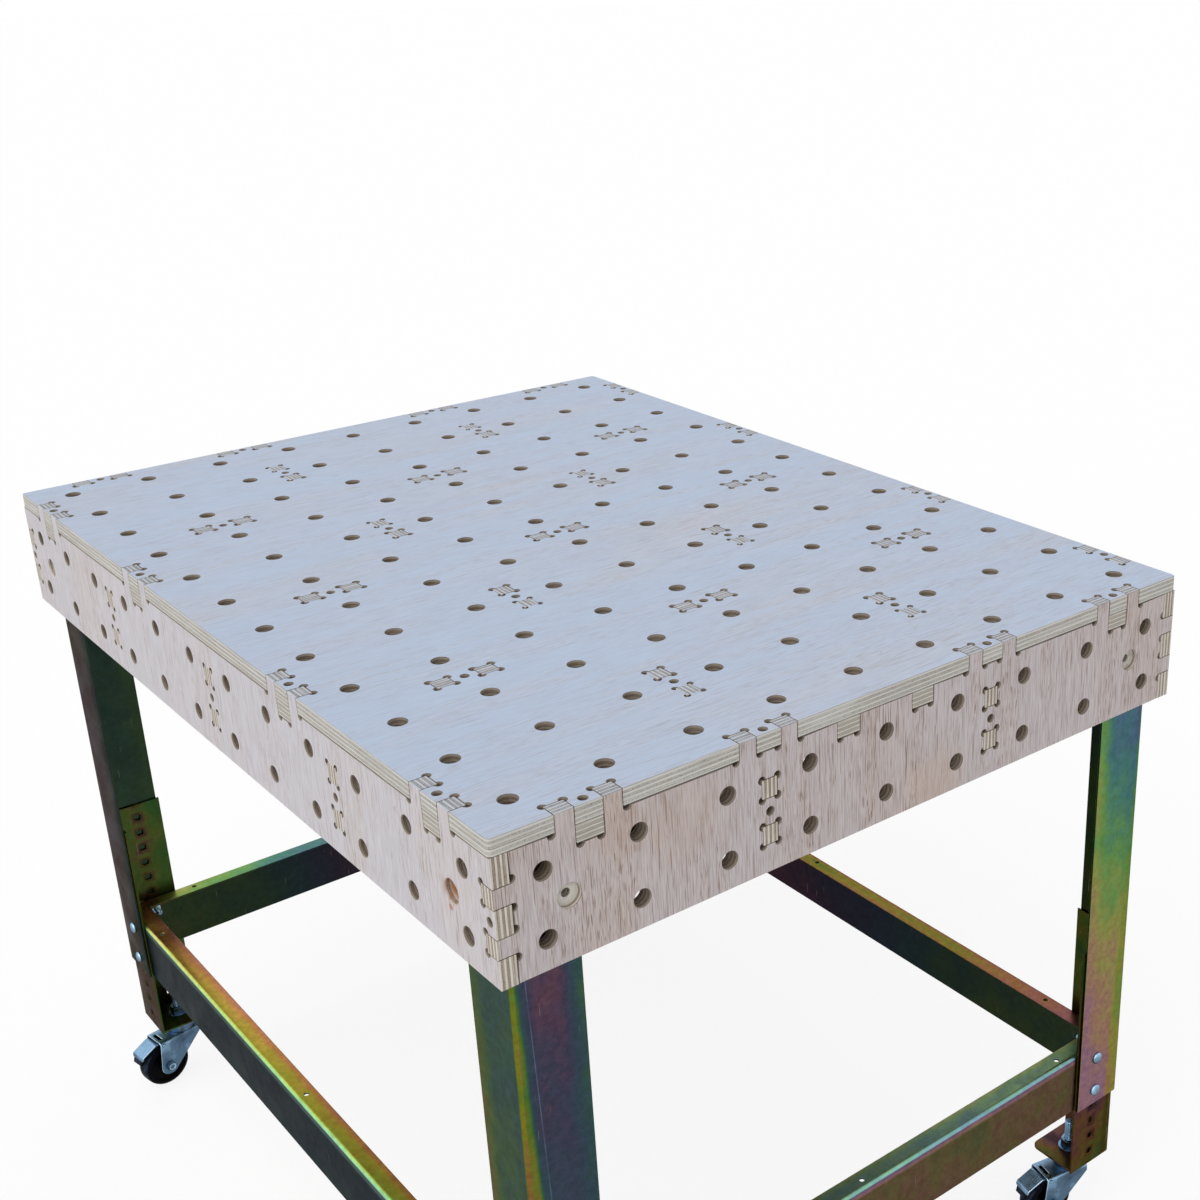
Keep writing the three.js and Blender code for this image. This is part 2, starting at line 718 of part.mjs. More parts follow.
// Left and right stretchers run into the corners of the extensions
function longStretcher(side) {
  const end = halfLength - stretcherOffset - bendInnerRadius;
  const bar = plate('xz', stretcherOutline(side, halfWidth), -end, end);
  return joinAndCut(
    [bar, ...stretcherBolts('y', side, halfWidth, halfLength)],
    flangeHoles('y', side, halfWidth, longStretcherHoleInset, halfLength));
}

// Front and back stretchers stop short of the flanges of the long ones
function crossStretcher(side) {
  const end = halfWidth - stretcherOffset - stretcherFlange - seatGap;
  const bar = plate('yz', stretcherOutline(side, halfLength), -end, end);
  return joinAndCut(
    [bar, ...stretcherBolts('x', side, halfLength, halfWidth)],
    flangeHoles('x', side, halfLength, crossStretcherHoleInset, halfWidth));
}

// The caster stem: stud, upper race and the riveted neck through the fork
function casterStem() {
  const stud = stemDiameter / 2;
  const race = raceDiameter / 2;
  const neck = raceNeckDiameter / 2;
  const rivet = rivetDiameter / 2;
  const forkUnder = -forkTopDrop - forkThickness - seatGap;
  return new THREE.LatheGeometry([
    new THREE.Vector2(0, forkUnder - rivetHeight),
    new THREE.Vector2(rivet, forkUnder - rivetHeight),
    new THREE.Vector2(rivet, forkUnder),
    new THREE.Vector2(neck, forkUnder),
    new THREE.Vector2(neck, -raceTopDepth),
    new THREE.Vector2(race, -raceTopDepth),
    new THREE.Vector2(race, -seatGap),
    new THREE.Vector2(stud, -seatGap),
    new THREE.Vector2(stud, stemLength),
    new THREE.Vector2(0, stemLength),
  ], casterSides).rotateX(Math.PI / 2);
}

// The nut and its washer on the stem above the extension's floor plate
function stemNut() {
  const low = steelThickness + seatGap;
  const high = low + stemWasherThickness + stemNutHeight;
  const washer = prism(stemWasherDiameter, casterSides, low, low + stemWasherThickness);
  const nut = prism(stemNutFlats, hexSides, low, high);
  const bore = prism(
    stemDiameter + 2 * seatGap, casterSides, low - cutOverrun, high + cutOverrun);
  return joinAndCut([washer, nut], [bore]);
}

// The outline of one fork side: wide at the top, round about the axle
function forkSideOutline() {
  const path = new THREE.Shape();
  path.moveTo(forkTail, -forkTopDrop);
  path.lineTo(-forkNose, -forkTopDrop);
  path.lineTo(-forkNose, -forkTopDrop - forkNoseDrop);
  path.absarc(casterTrail, -axleDrop, forkEndRadius, 5 * Math.PI / 4, 2 * Math.PI, false);
  return new THREE.Shape(path.getPoints(bendSteps));
}

// A bar across the caster, along y
function crossBar(across, sides, low, high) {
  return aim(prism(across, sides, low, high), new THREE.Vector3(0, 1, 0), new THREE.Vector3());
}

function atAxle(geometry) {
  return geometry.translate(casterTrail, 0, -axleDrop);
}

// A place off the wheel's tread, in the caster's own plane: x trails the stem and y is up
function roundWheel(off, degrees) {
  const turn = THREE.MathUtils.degToRad(degrees);
  const reach = wheelDiameter / 2 + off;
  return new THREE.Vector2(casterTrail + reach * Math.sin(turn), reach * Math.cos(turn) - axleDrop);
}

const leverPin = roundWheel(leverPinOff, leverPinDegrees);
const [crestPoint, endPoint, lipPoint] = [leverCrest, leverEnd, leverLip].map((place) => (
  roundWheel(place.offShare * wheelDiameter / 2, place.degrees)));

function atLeverPin(geometry) {
  return geometry.translate(leverPin.x, 0, leverPin.y);
}

// The fork: two sides, a top with a lower race and a slot, holes for the axle and the lever's pin
function casterFork() {
  const top = boxBetween([-forkNose, forkTail], [-forkOuterHalf, forkOuterHalf],
    [-forkTopDrop - forkThickness, -forkTopDrop]);
  const sides = [-1, 1].map((side) => {
    const faces = [side * forkInnerHalf, side * forkOuterHalf];
    return plate('xz', forkSideOutline(), Math.min(...faces), Math.max(...faces));
  });
  const raceRadius = forkRaceDiameter / 2;
  const raceInner = raceRadius - forkRaceDepth;
  const race = new THREE.LatheGeometry([
    new THREE.Vector2(0, -forkTopDrop - forkThickness),
    new THREE.Vector2(raceInner, -forkTopDrop - forkThickness),
    new THREE.Vector2(raceRadius, -forkTopDrop),
    new THREE.Vector2(raceRadius, -forkRaceTopDrop - forkRaceDepth),
    new THREE.Vector2(raceInner, -forkRaceTopDrop),
    new THREE.Vector2(0, -forkRaceTopDrop),
  ], casterSides).rotateX(Math.PI / 2);
  const neckHole = prism(raceNeckDiameter + 2 * runningGap + 2 * seatGap, casterSides,
    -forkTopDrop - forkThickness - cutOverrun, 0);
  const slotEnd = forkTail - forkSlotInset;
  const slot = boxBetween([slotEnd - forkSlotLength, slotEnd],
    [-forkSlotWidth / 2, forkSlotWidth / 2],
    [-forkTopDrop - forkThickness - cutOverrun, -forkTopDrop + cutOverrun]);
  const reach = forkOuterHalf + cutOverrun;
  const axleHole = crossBar(axleDiameter + 2 * seatGap, boltSides, -reach, reach);
  const pinHole = crossBar(leverPinDiameter + 2 * seatGap, boltSides, -reach, reach);
  return joinAndCut([top, ...sides, race], [neckHole, slot, atAxle(axleHole), atLeverPin(pinHole)]);
}

// The axle: a hex bolt through the fork and its nut
function casterAxle() {
  const face = forkOuterHalf + seatGap;
  const shank = crossBar(axleDiameter, boltSides, -face - axleHeadHeight, face + seatGap);
  const head = crossBar(axleHeadFlats, hexSides, face, face + axleHeadHeight);
  const nut = crossBar(axleHeadFlats, hexSides, -face - axleNutHeight, -face);
  return atAxle(joinAndCut([shank, head, nut], []));
}

// The wheel: a rounded tread, dished sides and a hub
function casterWheel() {
  const flats = Math.cos(Math.PI / wheelSides);
  const outer = wheelDiameter / 2 / flats;
  const half = wheelWidth / 2;
  const hub = wheelHubDiameter / 2;
  const rim = outer - wheelTreadDepth;
  const bore = (axleDiameter / 2 + runningGap) / flats;
  const hubHalf = half + forkSideGap - runningGap;
  const profile = [
    [bore, -hubHalf], [hub, -hubHalf], [hub, -half + wheelDishDepth], [rim, -half + wheelDishDepth],
    [rim, -half], [outer - wheelShoulder, -half], [outer, -half + wheelShoulder],
    [outer, half - wheelShoulder], [outer - wheelShoulder, half], [rim, half],
    [rim, half - wheelDishDepth], [hub, half - wheelDishDepth], [hub, hubHalf], [bore, hubHalf],
    [bore, -hubHalf],
  ];
  const wheel = new THREE.LatheGeometry(profile.map((point) => new THREE.Vector2(...point)), wheelSides);
  return atAxle(wheel.rotateY(Math.PI / wheelSides));
}

// A bent sheet: the points run along its upper side, and its thickness is below and behind them
function bentSheet(points, thickness) {
  const normals = points.slice(1).map((point, index) => {
    const along = point.clone().sub(points[index]).normalize();
    return new THREE.Vector2(along.y, -along.x);
  });
  const lower = points.map((point, index) => {
    const before = normals[Math.max(index - 1, 0)];
    const after = normals[Math.min(index, normals.length - 1)];
    const middle = before.clone().add(after).normalize();
    return point.clone().add(middle.multiplyScalar(thickness / middle.dot(after)));
  });
  return new THREE.Shape([...points, ...lower.reverse()]);
}

// The brake lever: a pin through the fork's sides, a sloping tread plate and a turned-down lip
function brakeLever() {
  const pinTop = new THREE.Vector2(leverPin.x, leverPin.y + leverThickness / 2);
  const half = leverWidth / 2;
  const outline = bentSheet([pinTop, crestPoint, endPoint, lipPoint], leverThickness);
  const sheet = plate('xz', outline, -half, half);
  const reach = forkOuterHalf + leverPinReach;
  const pin = atLeverPin(crossBar(leverPinDiameter, boltSides, -reach, reach));
  return joinAndCut([sheet, pin], []);
}

// The rubber block under the lever, hollowed to the wheel's round as the lever meets it when it is
// trodden down by its full travel
function brakePad() {
  const clear = leverThickness + seatGap;
  const slope = (endPoint.y - crestPoint.y) / (endPoint.x - crestPoint.x);
  const roof = (x) => crestPoint.y + (x - crestPoint.x) * slope - clear * Math.hypot(1, slope);
  const start = crestPoint.x + (endPoint.x - crestPoint.x) * padStartShare;
  const inner = endPoint.x - clear;
  const axle = new THREE.Vector2(casterTrail, -axleDrop);
  const centre = axle.rotateAround(leverPin, THREE.MathUtils.degToRad(leverTravelDegrees));
  const radius = wheelDiameter / 2 / Math.cos(Math.PI / wheelSides) + padWheelGap;
  const low = Math.asin((lipPoint.y - centre.y) / radius);
  const high = Math.acos((start - centre.x) / radius);
  const outline = new THREE.Shape();
  outline.moveTo(start, roof(start));
  outline.lineTo(inner, roof(inner));
  outline.lineTo(lipPoint.x - clear, lipPoint.y);
  outline.absarc(centre.x, centre.y, radius, low, high, false);
  return plate('xz', new THREE.Shape(outline.getPoints(bendSteps)), -padWidth / 2, padWidth / 2);
}

// One caster: its pieces are placed about the stem, trailing along +x before the swivel turn
function addCaster(key) {
  const corner = corners[key];
  const group = new THREE.Group();
  const [x, y] = cornerPoint(corner, stemInset, stemInset);
  group.position.set(x, y, extensionBottom);
  group.rotation.z = THREE.MathUtils.degToRad(swivelDegrees[key]);
  const name = `${corner.node}_caster`;
  addMesh(group, `${name}_stem`, casterStem(), brightZinc);
  addMesh(group, `${name}_stem_nut`, stemNut(), brightZinc);
  addMesh(group, `${name}_fork`, casterFork(), brightZinc);
  addMesh(group, `${name}_axle`, casterAxle(), brightZinc);
  addMesh(group, `${name}_wheel`, casterWheel(), blackTread);
  addMesh(group, `${name}_brake_lever`, brakeLever(), brightZinc);
  addMesh(group, `${name}_brake_pad`, brakePad(), blackTread);
  table.add(group);
}

function addBox() {
  addMesh(table, 'top_skin', topSkin(), plywoodTop);
  addMesh(table, 'front_panel', endPanel(-1), plywood);
  addMesh(table, 'back_panel', endPanel(1), plywood);
  addMesh(table, 'left_panel', longPanel(-1), plywood);
  addMesh(table, 'right_panel', longPanel(1), plywood);
  const [leftRib, rightRib] = places(longRibShares);
  addMesh(table, 'left_long_rib', longRib(leftRib), plywood);
  addMesh(table, 'right_long_rib', longRib(rightRib), plywood);
  const [frontRib, middleRib, backRib] = places(crossRibShares);
  addMesh(table, 'front_cross_rib', crossRib(frontRib), plywood);
  addMesh(table, 'middle_cross_rib', crossRib(middleRib), plywood);
  addMesh(table, 'back_cross_rib', crossRib(backRib), plywood);
  const [leftBatten, rightBatten] = places(longEdgeBattenShares);
  addMesh(table, 'left_edge_batten', longBatten(leftBatten), battenWood);
  addMesh(table, 'right_edge_batten', longBatten(rightBatten), battenWood);
  const [frontBatten, backBatten] = places(crossEdgeBattenShares);
  addMesh(table, 'front_edge_batten', crossBatten(frontBatten), battenWood);
  addMesh(table, 'back_edge_batten', crossBatten(backBatten), battenWood);
  const [leftMiddle, rightMiddle] = places(longCentreBattenShares);
  addMesh(table, 'left_centre_batten', longBatten(leftMiddle), battenWood);
  addMesh(table, 'right_centre_batten', longBatten(rightMiddle), battenWood);
  const [frontMiddle, backMiddle] = places(crossCentreBattenShares);
  addMesh(table, 'front_centre_batten', crossBatten(frontMiddle), battenWood);
  addMesh(table, 'back_centre_batten', crossBatten(backMiddle), battenWood);
}

function addFrame() {
  for (const corner of Object.values(corners)) {
    addMesh(table, `${corner.node}_leg`, leg(corner), passivatedSteel);
    addMesh(table, `${corner.node}_leg_extension`, extension(corner), passivatedSteel);
  }
  addMesh(table, 'left_stretcher', longStretcher(-1), passivatedSteel);
  addMesh(table, 'right_stretcher', longStretcher(1), passivatedSteel);
  addMesh(table, 'front_stretcher', crossStretcher(-1), passivatedSteel);
  addMesh(table, 'back_stretcher', crossStretcher(1), passivatedSteel);
}

addBox();
addFrame();
Object.keys(corners).forEach(addCaster);

export default table;
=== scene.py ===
"""A dog-hole work table in its finishes: plywood boards with relieved joints, folded steel with an
iridescent passivated skin, carriage bolts and braked swivel casters. Metres, +Z up, front face
towards -Y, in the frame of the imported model."""
import math
from contextlib import contextmanager

import bmesh
import bpy
from mathutils import Euler, Matrix, Vector


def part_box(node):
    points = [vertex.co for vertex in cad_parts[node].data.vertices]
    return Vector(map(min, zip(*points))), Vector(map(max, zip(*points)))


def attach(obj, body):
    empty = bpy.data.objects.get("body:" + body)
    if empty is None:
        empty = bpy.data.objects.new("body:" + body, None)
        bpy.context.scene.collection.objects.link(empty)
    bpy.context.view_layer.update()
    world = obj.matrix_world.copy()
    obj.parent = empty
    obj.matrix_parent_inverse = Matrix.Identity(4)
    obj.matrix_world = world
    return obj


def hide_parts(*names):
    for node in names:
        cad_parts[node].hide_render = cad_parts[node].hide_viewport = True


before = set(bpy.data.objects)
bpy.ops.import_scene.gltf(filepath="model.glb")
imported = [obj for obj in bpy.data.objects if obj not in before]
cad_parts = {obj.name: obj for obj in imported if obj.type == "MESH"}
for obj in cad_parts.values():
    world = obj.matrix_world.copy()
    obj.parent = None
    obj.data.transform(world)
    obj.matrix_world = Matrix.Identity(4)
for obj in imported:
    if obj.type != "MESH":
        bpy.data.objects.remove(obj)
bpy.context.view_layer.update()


def mm(value):
    """Millimetres as metres."""
    return value * 0.001


# Camera, as found from the lattice of dog holes in the photograph
CAMERA_PLACE = (-1.0476, -1.7392, 1.6634)
CAMERA_TURN = (67.12, 0.401, -40.735)
CAMERA_LENS = 50.895
CAMERA_SENSOR = 36
CAMERA_SHIFT = (-0.1878, 0.0146)

# Plywood box
SEAT_GAP = mm(0.3)
DOG_PITCH = mm(101.6)
DOG_DIAMETER = mm(19.05)
SIDE_ROW_SPACING = mm(70)
PLY = mm(18)
PLY_COUNT = 7
INNER = PLY + SEAT_GAP
SKIN_CORNER_RADIUS = mm(5)
TENON_WIDTH = mm(20.3)
TENON_SPACING = mm(50.8)
PILOT_DIAMETER = mm(9.5)
COUNTERBORE_DIAMETER = mm(25)
COUNTERBORE_DEPTH = mm(6.5)
COUNTERBORE_INSET = mm(75.45)
CUTTER_RADIUS = mm(4.2)
CUTTER_SINK = mm(0.8)
BOARD_CHAMFER = mm(0.5)
JOINT_LINE = mm(0.55)
SADDLE_WIDTH = TENON_SPACING - TENON_WIDTH
BATTEN_WIDTH = SADDLE_WIDTH - 2 * JOINT_LINE
SOCKET_WIDTH = TENON_WIDTH + 2 * JOINT_LINE
SLOT_WIDTH = PLY + 2 * JOINT_LINE

# What a board meets as it runs along x or along y, places in dog pitches from the middle
DOG_COUNTS = {"x": 9, "y": 12}
TAB_SHARES = {"x": (-3.5, -1.5, 1.5, 3.5), "y": (-5, -2, 2, 5)}
TENON_SHARES = {"x": (-3, 0, 3), "y": (-4.5, -1.5, 1.5, 4.5)}
RIBS = {"x": {"left_long": -1.5, "right_long": 1.5},
        "y": {"front_cross": -3, "middle_cross": 0, "back_cross": 3}}
BATTENS = {"x": {"left_edge": -3.5, "left_centre": -0.5, "right_centre": 0.5, "right_edge": 3.5},
           "y": {"front_edge": -5, "front_centre": -2, "back_centre": 2, "back_edge": 5}}
OTHER = {"x": "y", "y": "x"}

# Folded steel
STEEL = mm(2.7)
BEND_INNER = mm(2.5)
OUTER_RADIUS = BEND_INNER + STEEL
BEND_ARC = (BEND_INNER + STEEL / 2) * math.pi / 2
STEEL_CHAMFER = mm(0.35)
LEG_FLANGE = mm(76.2)
LAYER_STEP = STEEL + SEAT_GAP
LEG_OFFSET = PLY + SEAT_GAP
STRETCHER_OFFSET = LEG_OFFSET + 2 * LAYER_STEP
BOLT_INSET = mm(44.45)
BOLT_SPACING = mm(50.8)
HOLE_PITCH = mm(25.4)
HOLE_COUNT = 13
HOLE_WIDTH = mm(8.8)
HOLE_CORNER = mm(1.2)
HOLE_END_MARGIN = mm(21)
LOW_BOLT_HOLE = 4
PLATE_WIDTH = mm(74)
PLATE_CORNER = mm(12)
PLATE_LAP = mm(2.16)
STRETCHER_WEB = mm(86.2)
STRETCHER_FLANGE = mm(25.4)
STRETCHER_HOLE = mm(6.5)
STRETCHER_HOLE_EDGE = mm(12)
STRETCHER_HOLE_INSETS = {"x": mm(122.2), "y": mm(133.6)}

# Fasteners
BOLT_DIAMETER = mm(7.9)
BOLT_LENGTH = mm(31.75)
DOME_DIAMETER = mm(16)
DOME_HEIGHT = mm(4.4)
DOME_RIM = mm(0.8)
DOME_EASE = mm(0.3)
NUT_FLATS = mm(12.7)
NUT_HEIGHT = mm(6.7)
NUT_FLANGE = mm(1.2)
BOX_BOLT_INSET = mm(57.15)
BOX_HEAD_FLATS = mm(11.1)
BOX_HEAD_HEIGHT = mm(4.3)
BOX_HEAD_FACE = mm(0.5)
THREAD_PITCH = mm(1.5)
THREAD_DEPTH = mm(0.55)

# Swivel caster, in its own frame: x trails the stem, z is up from the leg's floor plate
WHEEL_DIAMETER = mm(70)
WHEEL_WIDTH = mm(26)
TREAD_DEPTH = mm(9)
HUB_DIAMETER = mm(22)
HUB_PROUD = mm(3.5)
CASTER_TRAIL = mm(36)
AXLE_DROP = mm(66.6)
AXLE_DIAMETER = mm(7.9)
AXLE_HEAD_FLATS = mm(12.7)
AXLE_HEAD_HEIGHT = mm(5)
AXLE_NUT_HEIGHT = mm(4.5)
AXLE_COLLAR = mm(0.7)
AXLE_COLLAR_WIDTH = mm(2)
FORK_STEEL = mm(2.5)
FORK_OUTER_HALF = mm(19.5)
FORK_TOP_DROP = mm(22)
FORK_NOSE = mm(19)
FORK_NOSE_DROP = mm(10)
FORK_TAIL = mm(46)
FORK_END_RADIUS = mm(14)
FORK_BEND_INNER = mm(1.8)
FORK_SLOT = (mm(5), mm(18))
FORK_SLOT_INSET = mm(4)
FORK_NECK_GAP = mm(0.8)
RACE_RADIUS = mm(22.5)
RACE_DEPTH = mm(6)
NECK_RADIUS = mm(7.5)
FORK_RACE_RADIUS = mm(19.5)
FORK_RACE_TOP = mm(6.5)
FORK_RACE_LIP = mm(3)
RIVET_RADIUS = mm(10.5)
RIVET_HEIGHT = mm(2.6)
STEM_DIAMETER = mm(12.7)
STEM_LENGTH = mm(45)
STEM_TIP = mm(1.2)
STEM_HOLE_GAP = mm(0.8)
STEM_NUT_FLATS = mm(19)
STEM_NUT_HEIGHT = mm(11)
WASHER_DIAMETER = mm(28)
WASHER_THICKNESS = mm(2.2)
LEVER_STEEL = mm(2.2)
LEVER_WIDTH = mm(28)
LEVER_CORNER = mm(3)
LEVER_BEND_INNER = mm(2)
LEVER_PIN_RADIUS = mm(2.2)
LEVER_PIN_OFF = mm(4.5)
LEVER_PIN_DEGREES = 7.3
LEVER_PLACES = ((0.29, 19.4), (0.41, 50.3), (0.275, 66.8))
LEVER_LIP_SHARE = 0.45
LEVER_TRAVEL = math.radians(8)
PAD_WIDTH = mm(22)
PAD_START_SHARE = 0.48
PAD_WHEEL_GAP = mm(1)
PRESSED_CHAMFER = mm(0.5)

WELD = mm(0.001)
QUARTER = math.pi / 2
SMALL_ROUND = 20

# Heights and reaches taken from the frame
skin_low, skin_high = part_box("top_skin")
HALF_WIDTH, HALF_LENGTH, TABLE_TOP = skin_high
HALVES = {"x": HALF_WIDTH, "y": HALF_LENGTH}
SKIN_BOTTOM = skin_low.z
PANEL_TOP = SKIN_BOTTOM - SEAT_GAP
BOX_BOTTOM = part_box("front_panel")[0].z
BATTEN_BOTTOM, BATTEN_TOP = (corner.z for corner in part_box("left_edge_batten"))
SADDLE_DEPTH = PANEL_TOP - BATTEN_BOTTOM + JOINT_LINE
SIDE_MIDDLE = (BOX_BOTTOM + SKIN_BOTTOM) / 2
TAB_RISE = TABLE_TOP - PANEL_TOP
LEG_BOTTOM, LEG_TOP = (corner.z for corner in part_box("front_left_leg"))
FOOT_BOTTOM, FOOT_TOP = (corner.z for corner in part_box("front_left_leg_extension"))
LOW_BOLT_Z = FOOT_BOTTOM + HOLE_END_MARGIN + LOW_BOLT_HOLE * HOLE_PITCH
HIGH_BOLT_Z = LOW_BOLT_Z + BOLT_SPACING
WEB_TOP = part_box("left_stretcher")[1].z
CORNERS = {"front_left": (-1, -1), "front_right": (1, -1),
           "back_right": (1, 1), "back_left": (-1, 1)}


# Materials

def srgb(red, green, blue):
    """A linear colour from 0 to 255 display values."""
    shares = [value / 255 for value in (red, green, blue)]
    linear = [s / 12.92 if s <= 0.04045 else ((s + 0.055) / 1.055) ** 2.4 for s in shares]
    return (*linear, 1)


def put(socket, value):
    """Links a socket or sets it. A colour of three numbers has display values."""
    if isinstance(value, Value):
        value.shader.tree.links.new(value.socket, socket)
    elif socket.type == "RGBA" and len(value) == 3:
        socket.default_value = srgb(*value)
    else:
        socket.default_value = value


class Value:
    """What a node gives out, with arithmetic that adds the nodes for it."""

    def __init__(self, shader, socket):
        self.shader, self.socket = shader, socket

    def math(self, operation, *others):
        return self.shader.node("Math", dict(enumerate((self, *others))), operation=operation)

    def __add__(self, other):
        return self.math("ADD", other)

    def __sub__(self, other):
        return self.math("SUBTRACT", other)

    def __rsub__(self, other):
        return self.shader.node("Math", {0: other, 1: self}, operation="SUBTRACT")

    def __mul__(self, other):
        return self.math("MULTIPLY", other)

    def __truediv__(self, other):
        return self.math("DIVIDE", other)

    def __abs__(self):
        return self.math("ABSOLUTE")

    def larger(self, other):
        return self.math("MAXIMUM", other)

    def split(self):
        return [self.shader.node("SeparateXYZ", {0: self}, axis) for axis in "XYZ"]

    def noise(self, scale=1, detail=2, roughness=0.5, distortion=0):
        values = {"Vector": self, "Scale": scale, "Detail": detail, "Roughness": roughness,
                  "Distortion": distortion}
        return self.shader.node("TexNoise", values, "Fac")

    def step(self, low, high, to_low=0, to_high=1):
        values = {"Value": self, "From Min": low, "From Max": high, "To Min": to_low,
                  "To Max": to_high}
        return self.shader.node("MapRange", values, interpolation_type="SMOOTHSTEP")

    def ramp(self, stops):
        """The colour that goes through (place, colour) stops as this goes from 0 to 1."""
        made = self.shader.tree.nodes.new("ShaderNodeValToRGB")
        put(made.inputs["Fac"], self)
        elements = made.color_ramp.elements
        while len(elements) < len(stops):
            elements.new(1)
        for element, (place, colour) in zip(elements, stops):
            element.position = place
            element.color = srgb(*colour) if len(colour) == 3 else colour
        return Value(self.shader, made.outputs["Color"])

    def levels(self, row):
        """The plain value that goes through an evenly spaced row as this goes from 0 to 1."""
        last = len(row) - 1
        return self.ramp([(at / last, (level, level, level, 1)) for at, level in enumerate(row)])

    def choose(self, first, second):
        """The first colour or value where this is 0, and the second where it is 1."""
        return self.shader.node("Mix", {"Factor": self, 6: first, 7: second}, 2, data_type="RGBA")

    def times(self, tint):
        return self.shader.node("Mix", {"Factor": 1.0, 6: self, 7: tint}, 2, data_type="RGBA",
                                blend_type="MULTIPLY")


class Shader:
    """A material's node tree, with the place and normal that its finish goes by."""

    def __init__(self, name, roughness=0.6, metallic=0.0):
        self.material = bpy.data.materials.new(name)
        self.material.use_nodes = True
        self.tree = self.material.node_tree
        self.bsdf = self.tree.nodes["Principled BSDF"]
        self.set("Roughness", roughness)
        self.set("Metallic", metallic)
        self.place = self.node("TexCoord", {}, "Object")
        self.normal = self.node("TexCoord", {}, "Normal")

    def node(self, kind, values, output=0, **settings):
        made = self.tree.nodes.new("ShaderNode" + kind)
        for key, value in settings.items():
            setattr(made, key, value)
        for key, value in values.items():
            put(made.inputs[key], value)
        return Value(self, made.outputs[output])

    def set(self, name, value):
        put(self.bsdf.inputs[name], value)

    def stretched(self, scale, turn=(0, 0, 0)):
        return self.node("Mapping", {"Vector": self.place, "Scale": scale, "Rotation": turn})

    def bump(self, height, distance, strength=1.0):
        values = {"Height": height, "Distance": distance, "Strength": strength}
        self.set("Normal", self.node("Bump", values))


def plywood_face(name, base, warm, stroke, grain, strokes, patches):
    """Sanded face veneer: grain names the local axis that it runs along."""
    shader = Shader(name)

    def grained(along, across):
        scale = (along, across, across) if grain == "x" else (across, along, across)
        return shader.stretched(scale)

    cloud = grained(1.6, 6).noise(1, 4, 0.6, 0.4)
    drift = grained(3, 38).noise(1, 3, 0.6, 0.6)
    fine = grained(24, 760).noise(1, 3, 0.7)
    colour = cloud.step(0.42, 0.72, 0, patches).choose(base, warm)
    colour = drift.step(0.45, 0.75, 0, patches * 0.7).choose(colour, warm)
    colour = fine.step(0.38, 0.72, 0, strokes * 0.6).choose(colour, stroke)
    marks = grained(52, 1000).noise(1, 1).step(0.57, 0.66) * drift.step(0.4, 0.62)
    dashes = grained(24, 820).noise(1, 1).step(0.61, 0.68) * cloud.step(0.35, 0.6, 0.5, 1)
    marks = marks.larger(dashes)
    shader.set("Base Color", (marks * strokes).choose(colour, stroke))
    shader.set("Roughness", fine.step(0.2, 0.8, 0.58, 0.74))
    shader.set("Specular IOR Level", 0.3)
    shader.bump(marks * -1.2 + fine, mm(0.15), 0.5)
    return shader


def plywood_edge(name, pale, dark, glue, seed, contrast=1.0, along=60):
    """The edge of a board: plies that turn by turn show long grain and end grain, and glue."""
    shader = Shader(name, roughness=0.75)
    wander = shader.stretched((9, 9, 9)).noise()
    depth = (wander * mm(0.5) + shader.place.split()[2]) * (PLY_COUNT / PLY) + PLY_COUNT / 2
    layer = depth.math("FLOOR")
    odd = abs(layer).math("MODULO", 2.0)
    chance = shader.node("TexWhiteNoise", {"W": layer + seed}, "Value", noise_dimensions="1D")
    colour = (odd * (0.75 * contrast)).choose(pale, dark)
    colour = chance.step(0, 1, 0, 0.3 * contrast).choose(colour, dark)
    grain = shader.stretched((along, along, 2600)).noise(1, 3, 0.65)
    pits = shader.stretched((900, 900, 900)).noise(1, 1)
    figure = odd.choose(grain, pits)
    colour = figure.step(0.42, 0.75, 0, 0.55).choose(colour, glue)
    cloud = shader.stretched((14, 14, 500)).noise(1, 3, 0.6)
    colour = cloud.step(0.45, 0.75, 0, 0.5).choose(colour, pale)
    border = abs(depth.math("FRACT") - 0.5)
    line = border.step(0.4, 0.47) * cloud.step(0.25, 0.65, 1, 0.35)
    shader.set("Base Color", (line * min(1, contrast)).choose(colour, glue))
    shader.set("Specular IOR Level", 0.25)
    shader.bump(figure - line, mm(0.25), 0.5)
    return shader


def batten_grain(name, pale, dark, glue):
    """A flat batten's plies, one over another. They count in Y, as its board stands on edge."""
    shader = Shader(name, roughness=0.75)
    wander = shader.stretched((9, 9, 9)).noise()
    depth = (shader.place.split()[1] - BATTEN_BOTTOM) * (PLY_COUNT / PLY) + wander * 0.4
    odd = depth.math("FLOOR").math("MODULO", 2.0)
    grain = shader.stretched((40, 2200, 40)).noise(1, 2, 0.6)
    border = abs(depth.math("FRACT") - 0.5)
    colour = (odd * 0.6).choose(pale, dark)
    colour = grain.step(0.42, 0.75, 0, 0.5).choose(colour, glue)
    shader.set("Base Color", border.step(0.4, 0.47, 0, 0.8).choose(colour, glue))
    shader.set("Specular IOR Level", 0.25)
    shader.bump(grain, mm(0.2), 0.5)
    return shader


def stained(shader, spots, colour):
    """Adds soft knots or stains: place in the board's own plane, radius and strength."""
    base = Value(shader, shader.bsdf.inputs["Base Color"].links[0].from_socket)
    ragged = shader.stretched((160, 60, 160)).noise(1, 3, 0.6)
    plane = shader.place.split()
    for *middle, radius, strength in spots:
        over, up = ((value - at).math("POWER", 2.0) for value, at in zip(plane, middle))
        apart = (ragged - 0.5) * (radius * 1.2) + (over + up).math("SQRT")
        base = apart.step(radius, radius * 0.35, 0, strength).choose(base, colour)
    shader.set("Base Color", base)


